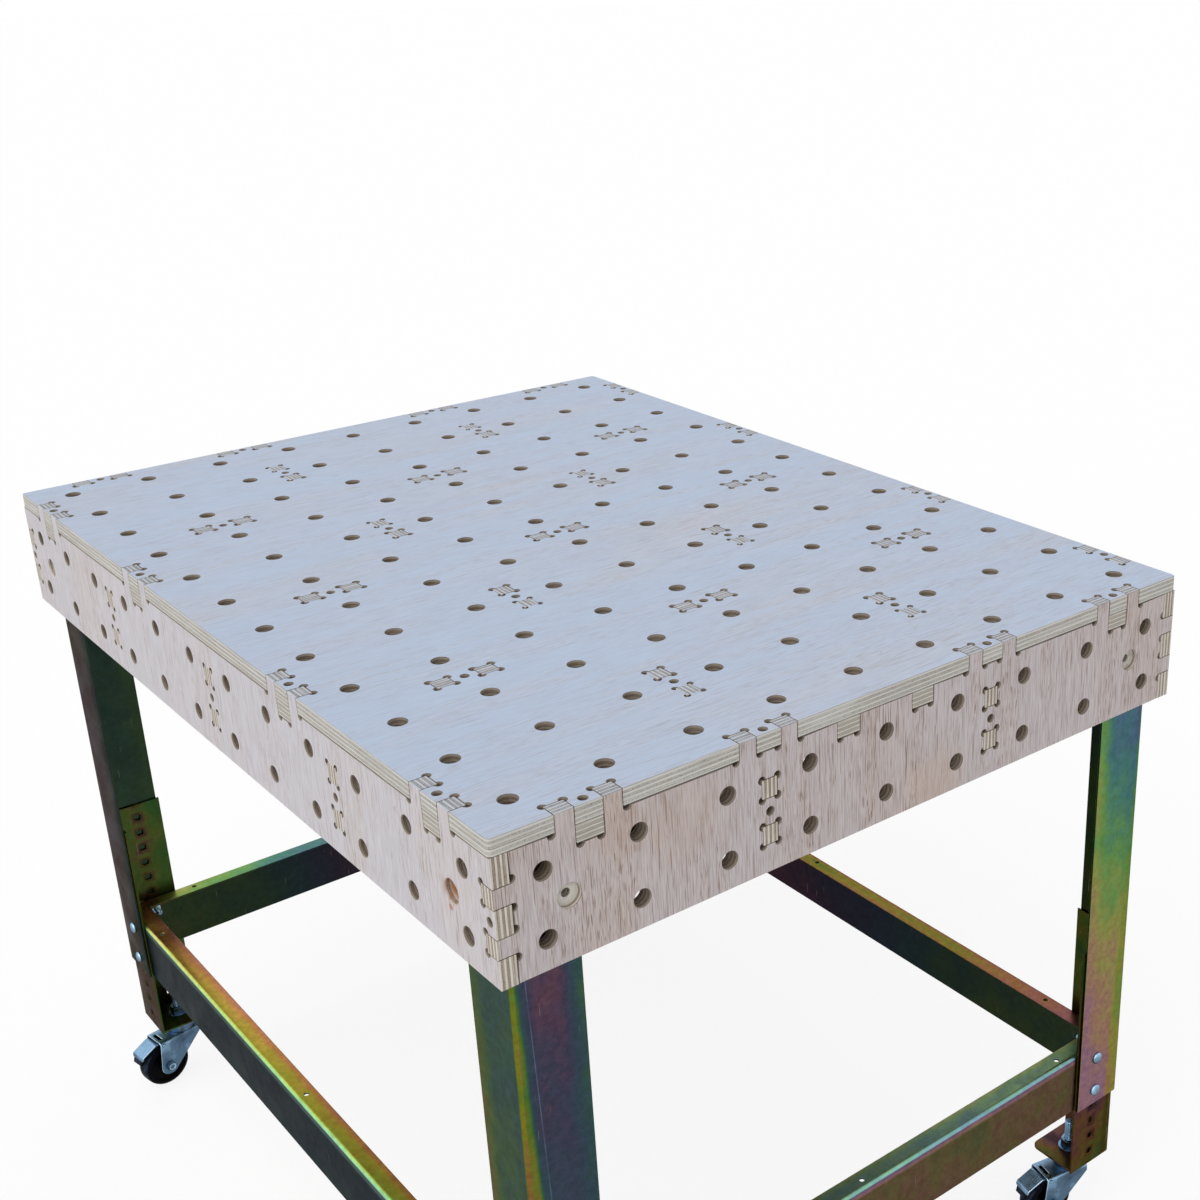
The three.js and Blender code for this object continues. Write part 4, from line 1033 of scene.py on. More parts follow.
def add_box():
    faces = {name: plywood_face(f"{name}_veneer", *finish) for name, finish in {
        # The top veneer's blue-grey is painted sky light on the upward face; the sides keep a
        # beige wood
        "top": ((182, 197, 219), (202, 194, 194), (152, 146, 150), "x", 0.45, 0.35),
        "front": ((198, 191, 193), (196, 178, 168), (118, 90, 72), "y", 0.72, 0.5),
        "left": ((201, 199, 205), (204, 191, 186), (132, 110, 100), "y", 0.5, 0.45),
        "rear": ((198, 193, 194), (200, 184, 174), (126, 102, 88), "y", 0.6, 0.45),
        "rib": ((198, 184, 164), (204, 180, 152), (150, 122, 96), "x", 0.4, 0.5)}.items()}
    open_edge = ((224, 221, 213), (158, 143, 125), (86, 62, 46), 7.0, 1.3)
    edges = {name: plywood_edge(name, *finish) for name, finish in {
        "skin_edge": ((214, 213, 208), (158, 152, 142), (92, 80, 68), 3.0, 0.8, 16),
        "side_edge": open_edge,
        "left_edge": open_edge,
        # Hole walls: darker plies, partly char and partly painted shade
        "bore_plies_char_and_shade": ((164, 153, 140), (124, 108, 92), (58, 44, 36), 5.0, 1.1),
        # The tab tops lie in the top face and carry its painted blue of sky light
        "tab_tops": ((206, 213, 222), (158, 157, 158), (62, 52, 48), 9.0, 1.3)}.items()}
    batten = batten_grain("batten_plies", (204, 201, 193), (160, 150, 137), (82, 64, 52))
    stained(faces["front"], [(mm(70), mm(803), mm(55), 0.3), (mm(-250), mm(880), mm(60), 0.2),
                             (mm(-330), mm(905), mm(50), 0.2)], (184, 150, 122))
    knot = COUNTERBORE_INSET - HALF_LENGTH
    knots = [(knot, SIDE_MIDDLE, mm(16), 0.95), (knot + mm(4), SIDE_MIDDLE - mm(18), mm(5), 0.8)]
    stained(faces["left"], knots, (168, 112, 66))
    stained(edges["left_edge"], knots, (156, 98, 54))

    def woods(face, edge="side_edge"):
        return [faces[face], edges[edge], edges["bore_plies_char_and_shade"], edges["tab_tops"]]

    add_top_skin(woods("top", "skin_edge"))
    add_panel("front_panel", "x", -1, woods("front"))
    add_panel("left_panel", "y", -1, woods("left", "left_edge"))
    add_panel("back_panel", "x", 1, woods("rear"))
    add_panel("right_panel", "y", 1, woods("rear"))
    for met, run in OTHER.items():
        for name, share in RIBS[met].items():
            add_rib(f"{name}_rib", run, share * DOG_PITCH, woods("rib"))
    for met, run in OTHER.items():
        for name, share in BATTENS[met].items():
            add_batten(f"{name}_batten", run, share * DOG_PITCH, batten)


# The steel frame

def corner_place(corner, offset):
    """Turns distances in from the corner of an angle at an offset into a place."""
    sign_x, sign_y = CORNERS[corner]

    def place(point, height):
        return Vector((sign_x * (HALF_WIDTH - offset - point.x),
                       sign_y * (HALF_LENGTH - offset - point.y), height))
    return place


def standing_angle(name, corner, offset, low, high, holes=()):
    """A folded angle in a corner. The flat sheet's x runs from one free edge to the other: x zero
    is where the fold begins."""
    reach = LEG_FLANGE - OUTER_RADIUS
    outline = [(-reach, low), (BEND_ARC + reach, low), (BEND_ARC + reach, high), (-reach, high)]
    sheet = flat_board(name, outline, holes, STEEL, STEEL_CHAMFER)
    return fold(sheet, [(0, -QUARTER)], BEND_INNER, STEEL, (OUTER_RADIUS, STEEL / 2), math.pi,
                corner_place(corner, offset))


def on_faces(name, corner, heights, inset, maker):
    """Makes a piece outwards from both flanges of a leg at each height."""
    sign_x, sign_y = CORNERS[corner]
    face_x, face_y = (half - LEG_OFFSET for half in HALVES.values())
    made = []
    for z in heights:
        for direction, spot in (((sign_x, 0, 0), (sign_x * face_x, sign_y * (face_y - inset), z)),
                                ((0, sign_y, 0), (sign_x * (face_x - inset), sign_y * face_y, z))):
            made.append(moved(maker(), pointing(direction, spot)))
    return merged(name, made)


def dome():
    """A carriage bolt's head with a thin rim."""
    radius = DOME_DIAMETER / 2
    crown = [(radius * math.cos(a), DOME_RIM + (DOME_HEIGHT - DOME_RIM) * math.sin(a))
             for a in (QUARTER * index / 10 for index in range(10))]
    return lathe("dome", [(0, 0), (radius - DOME_EASE, 0), (radius, DOME_EASE), *crown,
                          (0, DOME_HEIGHT)])


def box_bolt():
    """The hex head inside the leg of a bolt into the box, with its washer face."""
    face = -STEEL - BOX_HEAD_FACE
    head = hexagon("head", BOX_HEAD_FLATS, -STEEL - BOX_HEAD_HEIGHT, face)
    return merged("box_bolt", [head, disc("washer", BOX_HEAD_FLATS / 2, face, -STEEL)])


def add_legs(skins, bolt_metal):
    for corner in CORNERS:
        node = f"{corner}_leg"
        bar = standing_angle(f"{node}_angle", corner, LEG_OFFSET, LEG_BOTTOM, LEG_TOP)
        show(f"{node}_angle", bar, [skins[corner]], "table", node, "passivated_steel")
        for name, heights, inset, maker in (
                ("carriage_heads", (LOW_BOLT_Z, HIGH_BOLT_Z), BOLT_INSET, dome),
                ("box_bolts", (SIDE_MIDDLE,), BOX_BOLT_INSET, box_bolt)):
            show(f"{corner}_{name}", on_faces(name, corner, heights, inset, maker), [bolt_metal],
                 "table", node, "bright_zinc")


def floor_plate(corner, offset):
    """The extension's floor plate with a rounded free corner and a hole for the stem."""
    near, far, turn = PLATE_LAP, PLATE_WIDTH, PLATE_WIDTH - PLATE_CORNER
    outline = [(near, near), (far, near), *arc((turn, turn), PLATE_CORNER, 0, QUARTER, 8),
               (near, far)]
    hole = circle(LEG_FLANGE / 2, LEG_FLANGE / 2, STEM_DIAMETER + STEM_HOLE_GAP)
    plate = flat_board("plate", outline, [hole], STEEL, STEEL_CHAMFER)
    place = corner_place(corner, offset)
    with shaping(plate) as shaped:
        for vertex in shaped.verts:
            vertex.co = place(vertex.co, FOOT_BOTTOM + STEEL / 2 + vertex.co.z)
    return plate


def add_extensions(skins):
    offset = LEG_OFFSET + LAYER_STEP
    inset = BOLT_INSET - LAYER_STEP - OUTER_RADIUS
    rows = [FOOT_BOTTOM + HOLE_END_MARGIN + index * HOLE_PITCH for index in range(HOLE_COUNT)]
    holes = [rounded(along, z, HOLE_WIDTH, HOLE_CORNER)
             for z in rows for along in (-inset, BEND_ARC + inset)]
    for corner in CORNERS:
        name = f"{corner}_extension_angle"
        bar = standing_angle(name, corner, offset, FOOT_BOTTOM, FOOT_TOP, holes)
        mesh = smoothed(merged(name, [bar, floor_plate(corner, offset)]), 35)
        show(name, mesh, [skins[corner]], f"{corner}_foot", f"{corner}_leg_extension",
             "passivated_steel")


def bolt_tail():
    """The threaded end of a carriage bolt inside a stretcher."""
    radius = BOLT_DIAMETER / 2
    start = -2 * LAYER_STEP - STEEL / 2
    return lathe("tail", [(0, -BOLT_LENGTH), (radius - THREAD_DEPTH * 2, -BOLT_LENGTH),
                          *thread(radius, -BOLT_LENGTH + mm(0.5), start), (0, start)], 24)


def bolt_nut():
    """The flanged nut on a carriage bolt."""
    high = -2 * LAYER_STEP - STEEL
    flange = disc("flange", NUT_FLATS * 0.57, high - NUT_FLANGE, high, mm(0.4))
    nut = hexagon("nut", NUT_FLATS, high - NUT_HEIGHT, high - NUT_FLANGE / 2)
    return merged("nut", [nut, flange])


def add_stretcher(name, run, side, skin, bolt_metal):
    """A stretcher: web outside, flange turned inwards with holes along it, bolt tails and nuts."""
    across_half, run_half = HALVES[OTHER[run]], HALVES[run]
    low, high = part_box(name)
    end = high["xy".index(run)]

    def place(point, along):
        across = side * (across_half - STRETCHER_OFFSET - point.x)
        return Vector((*in_plan(run, along, across), point.y))

    web = WEB_TOP - OUTER_RADIUS - low.z
    reach = BEND_ARC + STRETCHER_FLANGE - OUTER_RADIUS
    outline = [(-web, -end), (reach, -end), (reach, end), (-web, end)]
    line = BEND_ARC + STRETCHER_HOLE_EDGE - OUTER_RADIUS
    holes = [circle(line, at * (run_half - STRETCHER_HOLE_INSETS[run]), STRETCHER_HOLE,
                    SMALL_ROUND) for at in (-1, 0, 1)]
    sheet = flat_board(f"{name}_sheet", outline, holes, STEEL, STEEL_CHAMFER)
    mesh = fold(sheet, [(0, -QUARTER)], BEND_INNER, STEEL, (STEEL / 2, WEB_TOP - OUTER_RADIUS),
                QUARTER, place)
    show(f"{name}_sheet", mesh, [skin], "table", name, "passivated_steel")
    parts = []
    for at in (-1, 1):
        spot = in_plan(run, at * (run_half - LEG_OFFSET - BOLT_INSET),
                       side * (across_half - LEG_OFFSET))
        for z in (LOW_BOLT_Z, HIGH_BOLT_Z):
            turn = pointing((*in_plan(run, 0, side), 0), (*spot, z))
            parts += [moved(maker(), turn) for maker in (bolt_tail, bolt_nut)]
    show(f"{name}_nuts", merged("nuts", parts), [bolt_metal], "table", name, "bright_zinc")


# Films: a tint with its share of grey, then the film's places near the fold, in the middle and at
# the free edge, each from one end of the piece to the other (low to high, left to right, front to
# back). The tints paint light into the colour: painted highlights on the folds, painted shade on
# the inner faces, and painted reflection that makes each face lighter or darker.
SHADED_INNER_GREEN = ((116, 126, 120, 0.55), (0.4, 0.42, 0.44, 0.46), (0.45, 0.47, 0.5, 0.45),
              (0.3, 0.36, 0.4, 0.33))
SHADED_INNER_OLIVE = ((126, 122, 112, 0.55), (0.3, 0.28, 0.35, 0.4), (0.24, 0.27, 0.32, 0.38),
              (0.2, 0.22, 0.26, 0.32))
GREEN_FOLD_HIGHLIGHT = ((236, 244, 206, 0.15), (0.2, 0.3, 0.4, 0.5), (0.2, 0.3, 0.5), (0.2, 0.3, 0.5))
LEG_FILMS = {
    "front_left": {
        "front_out": ((176, 176, 180, 0.28), (0.3, 0.4, 0.48, 0.52, 0.62),
                      (0.66, 0.7, 0.69, 0.87, 1.06), (0.44, 0.5, 0.54, 0.5, 0.44)),
        "side_out": ((206, 202, 198, 0.46), (0.5, 0.54, 0.5, 0.54, 0.56),
                     (0.4, 0.42, 0.44, 0.54, 0.54), (0.2, 0.22, 0.25, 0.34, 0.46)),
        "front_in": SHADED_INNER_GREEN, "side_in": SHADED_INNER_OLIVE,
        "bend_highlight": ((204, 214, 156, 0.12), (0.08, 0.08, 0.12, 0.29, 0.33),
                 (0.1, 0.12, 0.18, 0.3, 0.36), (0.2, 0.3, 0.35))},
    "front_right": {
        "front_out": ((248, 264, 268, 0.2), (0.3, 0.28, 0.38, 0.66, 0.85),
                      (-0.02, 0.11, 0.34, 0.58, 0.78), (-0.06, 0.0, 0.2, 0.32, 0.3)),
        "side_out": ((210, 216, 210, 0.3), (0.2, 0.3, 0.4, 0.5), (0.3, 0.4, 0.5, 0.6),
                     (0.5, 0.6, 0.7, 0.8)),
        "front_in": SHADED_INNER_GREEN,
        "side_in": ((84, 84, 76, 0.4), *[(0.1, 0.3, 0.4, 0.9)] * 3),
        "bend_highlight": GREEN_FOLD_HIGHLIGHT},
    "back_right": {
        "front_out": ((206, 216, 204, 0.3), (0.2, 0.33, 0.4, 0.5), (0.3, 0.42, 0.5, 0.6),
                      (0.4, 0.5, 0.6, 0.7)),
        "side_out": ((200, 206, 202, 0.3), (0.1, 0.2, 0.33, 0.4), (0.2, 0.3, 0.42, 0.55),
                     (0.3, 0.4, 0.5, 0.65)),
        "front_in": SHADED_INNER_OLIVE, "side_in": SHADED_INNER_GREEN, "bend_highlight": GREEN_FOLD_HIGHLIGHT},
    "back_left": {
        "front_out": ((196, 206, 198, 0.3), (0.3, 0.4, 0.5, 0.6), (0.2, 0.3, 0.42, 0.55),
                      (0.1, 0.2, 0.3, 0.45)),
        "side_out": ((116, 112, 116, 0.42), (0.3, 0.1, 0.05, 0.45), (0.08, 0.02, 0.0, 0.5),
                     (0.6, 0.85, 0.9, 0.6)),
        "front_in": SHADED_INNER_GREEN, "side_in": SHADED_INNER_OLIVE,
        "bend_highlight": ((140, 144, 124, 0.3), (0.1, 0.15, 0.3, 0.4), (0.1, 0.3, 0.4), (0.1, 0.3, 0.4))},
}
FOOT_BASE = {
    "front_out": ((156, 156, 134, 0.32), (0.28, 0.3, 0.28, 0.3), (0.2, 0.26, 0.25, 0.28),
                  (0.1, 0.2, 0.24, 0.3)),
    "side_out": ((136, 122, 112, 0.4), (0.3, 0.2, 0.24, 0.28), (0.2, 0.1, 0.2, 0.26),
                 (0.1, 0.05, 0.18, 0.26)),
    "front_in": ((124, 146, 134, 0.2), (0.38, 0.36, 0.33, 0.34), (0.34, 0.32, 0.3, 0.31),
                 (0.3, 0.3, 0.31, 0.34)),
    "side_in": ((176, 166, 130, 0.3), (0.2, 0.22, 0.28, 0.3), (0.16, 0.2, 0.26, 0.28),
                (0.1, 0.2, 0.25, 0.28)),
    "bend_highlight": ((122, 116, 94, 0.3), (0.18, 0.2, 0.26, 0.3), (0.2, 0.3, 0.4), (0.2, 0.3, 0.4)),
    "level": ((192, 188, 170, 0.3), (0.1, 0.0, 0.2, 0.1), (0.02, 0.1, 0.24, 0.2),
              (0.24, 0.3, 0.25, 0.3)),
}
FOOT_FILMS = {corner: dict(FOOT_BASE) for corner in CORNERS}
FOOT_FILMS["back_left"]["level"] = (
    (156, 170, 140, 0.3), (0.3, 0.34, 0.4, 0.4), (0.36, 0.38, 0.4, 0.42), (0.34, 0.36, 0.36, 0.4))
FOOT_FILMS["front_right"]["front_out"] = (
    (156, 144, 134, 0.3), (0.44, 0.05, 0.1, 0.3), (0.38, 0.0, 0.1, 0.3), (0.22, 0.03, 0.1, 0.3))
FOOT_FILMS["front_right"]["side_in"] = (
    (122, 118, 92, 0.25), (0.1, 0.12, 0.36, 0.38), (0.1, 0.16, 0.36, 0.38), (0.06, 0.1, 0.3, 0.34))

# Each stretcher's run, side and mottling
STRETCHERS = {"left_stretcher": ("y", -1, 0.04), "right_stretcher": ("y", 1, 0.06),
              "front_stretcher": ("x", -1, 0.075), "back_stretcher": ("x", 1, 0.05)}
STRETCHER_FILMS = {
    "left_stretcher": {
        "web_out": ((140, 142, 144, 0.62), (0.6, 0.64, 0.72, 0.8), (0.62, 0.66, 0.68, 0.66),
                    (0.5, 0.56, 0.6, 0.62)),
        "web_in": SHADED_INNER_GREEN,
        "flange": ((336, 330, 252, 0.15), (0.4, 0.35, 0.26, 0.24, 0.12),
                   (0.36, 0.29, 0.22, 0.19, 0.07), (0.22, 0.12, 0.06, 0.03, 0.02)),
        "bend_highlight": ((430, 446, 420, 0.4), (0.5, 0.48, 0.4, 0.32, 0.27), *[(0.4, 0.35, 0.3)] * 2)},
    "right_stretcher": {
        "web_out": ((200, 206, 200, 0.3), (0.5, 0.4, 0.3, 0.4), (0.6, 0.5, 0.4, 0.5),
                    (0.7, 0.5, 0.4, 0.6)),
        "web_in": ((106, 102, 106, 0.45), (0.4, 0.42, 0.86, 1.08, 1.1),
                   (0.42, 0.42, 0.84, 1.08, 1.1), (0.4, 0.4, 0.88, 1.1, 1.1)),
        "flange": ((236, 226, 206, 0.15), (-0.04, 0.06, 0.08, 0.06, 0.04),
                   (0.0, 0.23, 0.3, 0.24, 0.18), (-0.02, 0.14, 0.18, 0.08, 0.04)),
        "bend_highlight": ((190, 180, 150, 0.2), (0.06, 0.06, 0.1, 0.06), *[(0.1, 0.1, 0.1)] * 2)},
    "front_stretcher": {
        "web_out": ((172, 160, 168, 0.42), (0.78, 0.82, 0.86, 0.95), (1.21, 1.2, 1.24, 1.17),
                    (1.1, 1.14, 1.22, 1.12)),
        "web_in": SHADED_INNER_OLIVE,
        "flange": ((276, 266, 272, 0.44), (0.42, 0.44, 0.44, 0.36), (0.46, 0.5, 0.48, 0.38),
                   (0.3, 0.33, 0.34, 0.28)),
        "bend_highlight": ((390, 396, 400, 0.3), (0.46, 0.48, 0.54, 0.66), *[(0.4, 0.45, 0.5)] * 2)},
    "back_stretcher": {
        "web_out": ((206, 212, 202, 0.3), (0.3, 0.4, 0.5, 0.6), (0.4, 0.5, 0.4, 0.5),
                    (0.5, 0.5, 0.4, 0.6)),
        "web_in": ((104, 102, 104, 0.4), (0.06, 0.44, 1.1, 0.9, 0.9), (0.3, 0.45, 1.12, 0.9, 0.9),
                   (0.3, 0.42, 1.1, 0.9, 0.9)),
        "flange": ((310, 324, 316, 0.25), (0.06, 0.42, 0.74, 0.74, 0.5),
                   (0.1, 0.46, 0.74, 0.74, 0.5), (0.16, 0.5, 0.76, 0.74, 0.5)),
        "bend_highlight": ((236, 240, 210, 0.2), (0.12, 0.28, 0.4, 0.5), *[(0.2, 0.3, 0.4)] * 2)},
}


def add_frame(bolt_metal):
    legs = {corner: angle_skin(f"{corner}_leg_skin", LEG_BOTTOM, LEG_TOP, LEG_FILMS[corner],
                               scored=corner == "front_left") for corner in CORNERS}
    feet = {corner: angle_skin(f"{corner}_foot_skin", FOOT_BOTTOM, FOOT_TOP, FOOT_FILMS[corner],
                               mottle=0.13, halo=FOOT_BOTTOM + HOLE_END_MARGIN)
            for corner in CORNERS}
    add_legs(legs, bolt_metal)
    add_extensions(feet)
    for name, (run, side, mottle) in STRETCHERS.items():
        skin = stretcher_skin(f"{name}_skin", run, HALVES[OTHER[run]] - STRETCHER_OFFSET,
                              STRETCHER_FILMS[name], mottle)
        add_stretcher(name, run, side, skin, bolt_metal)


# The casters, each made about its stem and trailing along +x

def along_y(mesh, x, z):
    """Turns a piece made along +Z to lie along +Y at a place in the caster's plane."""
    return moved(mesh, Matrix.Translation((x, 0, z)) @ Matrix.Rotation(-QUARTER, 4, "X"))


def round_wheel(off, degrees):
    """A place off the tread: x trails the stem and y is up."""
    turn = math.radians(degrees)
    reach = WHEEL_DIAMETER / 2 + off
    return Vector((CASTER_TRAIL + reach * math.sin(turn), reach * math.cos(turn) - AXLE_DROP))


# The pin of the lever, and the bends of its upper side
LEVER_PIN = round_wheel(LEVER_PIN_OFF, LEVER_PIN_DEGREES)
LEVER_CREST, LEVER_END, LEVER_LIP = (
    round_wheel(share * WHEEL_DIAMETER / 2, degrees) for share, degrees in LEVER_PLACES)
LEVER_TIP = LEVER_END.lerp(LEVER_LIP, LEVER_LIP_SHARE)


def stem_mesh():
    stud = STEM_DIAMETER / 2
    under = -FORK_TOP_DROP - FORK_STEEL - SEAT_GAP
    profile = softened([
        (0, under - RIVET_HEIGHT), (RIVET_RADIUS * 0.7, under - RIVET_HEIGHT),
        (RIVET_RADIUS, under - RIVET_HEIGHT * 0.4), (RIVET_RADIUS, under), (NECK_RADIUS, under),
        (NECK_RADIUS, -RACE_DEPTH), (RACE_RADIUS - mm(2.4), -RACE_DEPTH),
        (RACE_RADIUS, -RACE_DEPTH + mm(0.6)), (RACE_RADIUS, -RACE_DEPTH + mm(2.6)),
        (RACE_RADIUS - mm(2.2), -mm(1.8)), (RACE_RADIUS * 0.72, -SEAT_GAP), (stud, -SEAT_GAP),
    ], mm(0.8))
    threaded = thread(stud, -SEAT_GAP + mm(0.2), STEM_LENGTH - STEM_TIP)
    return lathe("stem", [*profile, *threaded, (stud - mm(1.4), STEM_LENGTH), (0, STEM_LENGTH)])


def stem_nut_mesh():
    low = STEEL + SEAT_GAP
    bore = STEM_DIAMETER + 2 * SEAT_GAP
    top = low + WASHER_THICKNESS
    inner, outer = bore / 2, WASHER_DIAMETER / 2
    washer = lathe("washer", softened(
        [(inner, low), (outer, low), (outer, top), (inner, top), (inner, low)], mm(0.3)))
    nut = hexagon("nut", STEM_NUT_FLATS, top, top + STEM_NUT_HEIGHT, bore)
    return merged("stem_nut", [washer, nut])


def fork_mesh():
    outer = FORK_BEND_INNER + FORK_STEEL
    flat = FORK_OUTER_HALF - outer
    crown = flat + (FORK_BEND_INNER + FORK_STEEL / 2) * QUARTER

    def down(drop):
        """Where a drop below the leg's plate lies on the flat sheet."""
        return crown + drop - FORK_TOP_DROP - outer

    end = arc((CASTER_TRAIL, -AXLE_DROP), FORK_END_RADIUS, math.radians(225), math.radians(135),
              16)
    half = [(crown, FORK_TAIL), *((down(-p.y), p.x) for p in reversed(end)),
            (down(FORK_TOP_DROP + FORK_NOSE_DROP), -FORK_NOSE), (crown, -FORK_NOSE)]
    outline = [*half, *((-x, y) for x, y in reversed(half))]
    high = FORK_TAIL - FORK_SLOT_INSET
    low, across = high - FORK_SLOT[0], FORK_SLOT[1] / 2
    slot = [(-across, low), (across, low), (across, high), (-across, high)]
    holes = [circle(0, 0, 2 * (NECK_RADIUS + FORK_NECK_GAP)), slot]
    for side in (-1, 1):
        holes.append(circle(side * down(AXLE_DROP), CASTER_TRAIL, AXLE_DIAMETER + 2 * SEAT_GAP))
        holes.append(circle(side * down(-LEVER_PIN.y), LEVER_PIN.x,
                            2 * (LEVER_PIN_RADIUS + SEAT_GAP), 16))
    sheet = flat_board("fork", outline, holes, FORK_STEEL, PRESSED_CHAMFER)
    rim_marked(sheet)
    start = (0, -FORK_TOP_DROP - FORK_STEEL / 2)
    fold(sheet, [(flat, -QUARTER)], FORK_BEND_INNER, FORK_STEEL, start, 0,
         lambda point, along: Vector((along, point.x, point.y)), mirrored=True)
    lip, neck = FORK_RACE_RADIUS - FORK_RACE_LIP, NECK_RADIUS + FORK_NECK_GAP
    seat = -FORK_TOP_DROP - mm(0.1)
    race = lathe("race", softened([
        (neck, seat), (lip, seat), (FORK_RACE_RADIUS, -FORK_TOP_DROP),
        (FORK_RACE_RADIUS, -FORK_RACE_TOP - FORK_RACE_LIP), (lip, -FORK_RACE_TOP),
        (neck, -FORK_RACE_TOP), (neck, seat)], mm(1.2)))
    return smoothed(merged("fork", [sheet, race]), 32)


def axle_mesh():
    """The axle bolt: a head with a raised ring, and a nut whose collar and bolt end show."""
    face = FORK_OUTER_HALF + SEAT_GAP
    radius, ring = AXLE_DIAMETER / 2, AXLE_HEAD_FLATS * 0.42
    out, nut_end = face + AXLE_HEAD_HEIGHT, -face - AXLE_NUT_HEIGHT
    head = hexagon("head", AXLE_HEAD_FLATS, face + mm(0.8), out - AXLE_COLLAR)
    flange = disc("flange", AXLE_HEAD_FLATS * 0.56, face, face + mm(0.9), mm(0.3))
    nut = hexagon("nut", AXLE_HEAD_FLATS, nut_end + AXLE_COLLAR, -face)
    shank = lathe("shank", [(0, -out), (radius - mm(0.8), -out), (radius, -out + mm(0.8)),
                            (radius, face), (0, face)], 32)
    collars = []
    for low in (out - AXLE_COLLAR, nut_end):
        inner, high = ring - AXLE_COLLAR_WIDTH, low + AXLE_COLLAR
        collars.append(lathe("collar", softened(
            [(inner, low), (ring, low), (ring, high), (inner, high), (inner, low)], mm(0.3))))
        # The collars take the second material: painted highlight rings
        for polygon in collars[-1].polygons:
            polygon.material_index = 1
    return along_y(merged("axle", [shank, head, flange, nut, *collars]), CASTER_TRAIL, -AXLE_DROP)


def wheel_mesh():
    outer, half, hub = WHEEL_DIAMETER / 2, WHEEL_WIDTH / 2, HUB_DIAMETER / 2
    rim, hub_half = outer - TREAD_DEPTH, half + HUB_PROUD
    bore = AXLE_DIAMETER / 2 + mm(0.5)
    one_side = [
        (bore, hub_half), (hub * 0.55, hub_half), (hub * 0.62, hub_half - mm(1.2)),
        (hub * 0.9, half + mm(0.5)), (hub, half - mm(2.6)), (rim - mm(3), half - mm(3)),
        (rim, half - mm(1.2)), (rim + mm(0.6), half - mm(0.2)), (rim + mm(1), half - mm(1)),
        (rim + mm(1.6), half), (outer - mm(4.4), half - mm(0.2)),
        (outer - mm(1.6), half - mm(1.6)), (outer - mm(0.3), half - mm(4.5)),
        (outer, half - mm(8)),
    ]
    profile = one_side + [(radius, -height) for radius, height in reversed(one_side)]
    wheel = lathe("wheel", softened([*profile, one_side[0]], mm(0.9), 2), 72)
    for polygon in wheel.polygons:
        polygon.material_index = 0 if polygon.center.xy.length > rim + mm(0.8) else 1
    return along_y(wheel, CASTER_TRAIL, -AXLE_DROP)


def directions(path):
    return [(b - a).normalized() for a, b in zip(path, path[1:])]


def sunk(path, depth):
    """A path moved sideways by a depth, to its right."""
    sides = [Vector((direction.y, -direction.x)) for direction in directions(path)]
    inner = [point + (before + after) * depth / (1 + before.dot(after))
             for point, before, after in zip(path[1:], sides, sides[1:])]
    return [path[0] + sides[0] * depth, *inner, path[-1] + sides[-1] * depth]


def lever_mesh():
    path = [LEVER_PIN + Vector((0, LEVER_STEEL / 2)), LEVER_CREST, LEVER_END, LEVER_TIP]
    path = sunk(path, LEVER_STEEL / 2)
    ways = directions(path)
    middle = LEVER_BEND_INNER + LEVER_STEEL / 2
    bends, walked, trim = [], 0, 0
    for point, following, first, second in zip(path, path[1:], ways, ways[1:]):
        turn = math.atan2(first.x * second.y - first.y * second.x, first.dot(second))
        walked -= trim
        trim = middle * math.tan(abs(turn) / 2)
        walked += (following - point).length - trim
        bends.append((walked, turn))
        walked += abs(turn) * middle
    length = walked + (path[-1] - path[-2]).length - trim
    half, inset = LEVER_WIDTH / 2, LEVER_WIDTH / 2 - LEVER_CORNER
    outline = [(0, -half)]
    outline += arc((length - LEVER_CORNER, -inset), LEVER_CORNER, -QUARTER, QUARTER, 6)
    outline += arc((length - LEVER_CORNER, inset), LEVER_CORNER, 0, QUARTER, 6)
    outline.append((0, half))
    sheet = flat_board("lever", outline, [], LEVER_STEEL, PRESSED_CHAMFER)
    rim_marked(sheet)
    fold(sheet, bends, LEVER_BEND_INNER, LEVER_STEEL, path[0], math.atan2(ways[0].y, ways[0].x),
         lambda point, along: Vector((point.x, along, point.y)))
    reach, radius = FORK_OUTER_HALF + mm(1), LEVER_PIN_RADIUS
    rivet = lathe("pin", softened([(0, -reach), (radius, -reach), (radius, reach), (0, reach)],
                                  mm(0.5)), 24)
    return merged("lever", [sheet, along_y(rivet, LEVER_PIN.x, LEVER_PIN.y)])


def pad_mesh():
    """The rubber block under the lever, hollowed to the wheel's round."""
    crest, end = LEVER_CREST, LEVER_END
    clear = LEVER_STEEL + SEAT_GAP
    slope = (end.y - crest.y) / (end.x - crest.x)
    start = crest.x + (end.x - crest.x) * PAD_START_SHARE
    inner, below = end.x - clear, LEVER_TIP.y - SEAT_GAP

    def roof(x):
        return (x, crest.y + (x - crest.x) * slope - clear * math.hypot(1, slope))

    axle = Vector((CASTER_TRAIL, -AXLE_DROP)) - LEVER_PIN
    axle.rotate(Matrix.Rotation(LEVER_TRAVEL, 2))
    centre = axle + LEVER_PIN
    radius = WHEEL_DIAMETER / 2 + PAD_WHEEL_GAP
    low = math.asin((LEVER_LIP.y - centre.y) / radius)
    high = math.acos((start - centre.x) / radius)
    outline = [roof(start), *arc(centre, radius, high, low - high, 12), LEVER_LIP,
               (LEVER_TIP.x, below), (inner, below), roof(inner)]
    pad = flat_board("pad", outline, [], PAD_WIDTH, mm(0.6))
    return moved(smoothed(pad, 35), Matrix.Rotation(QUARTER, 4, "X"))


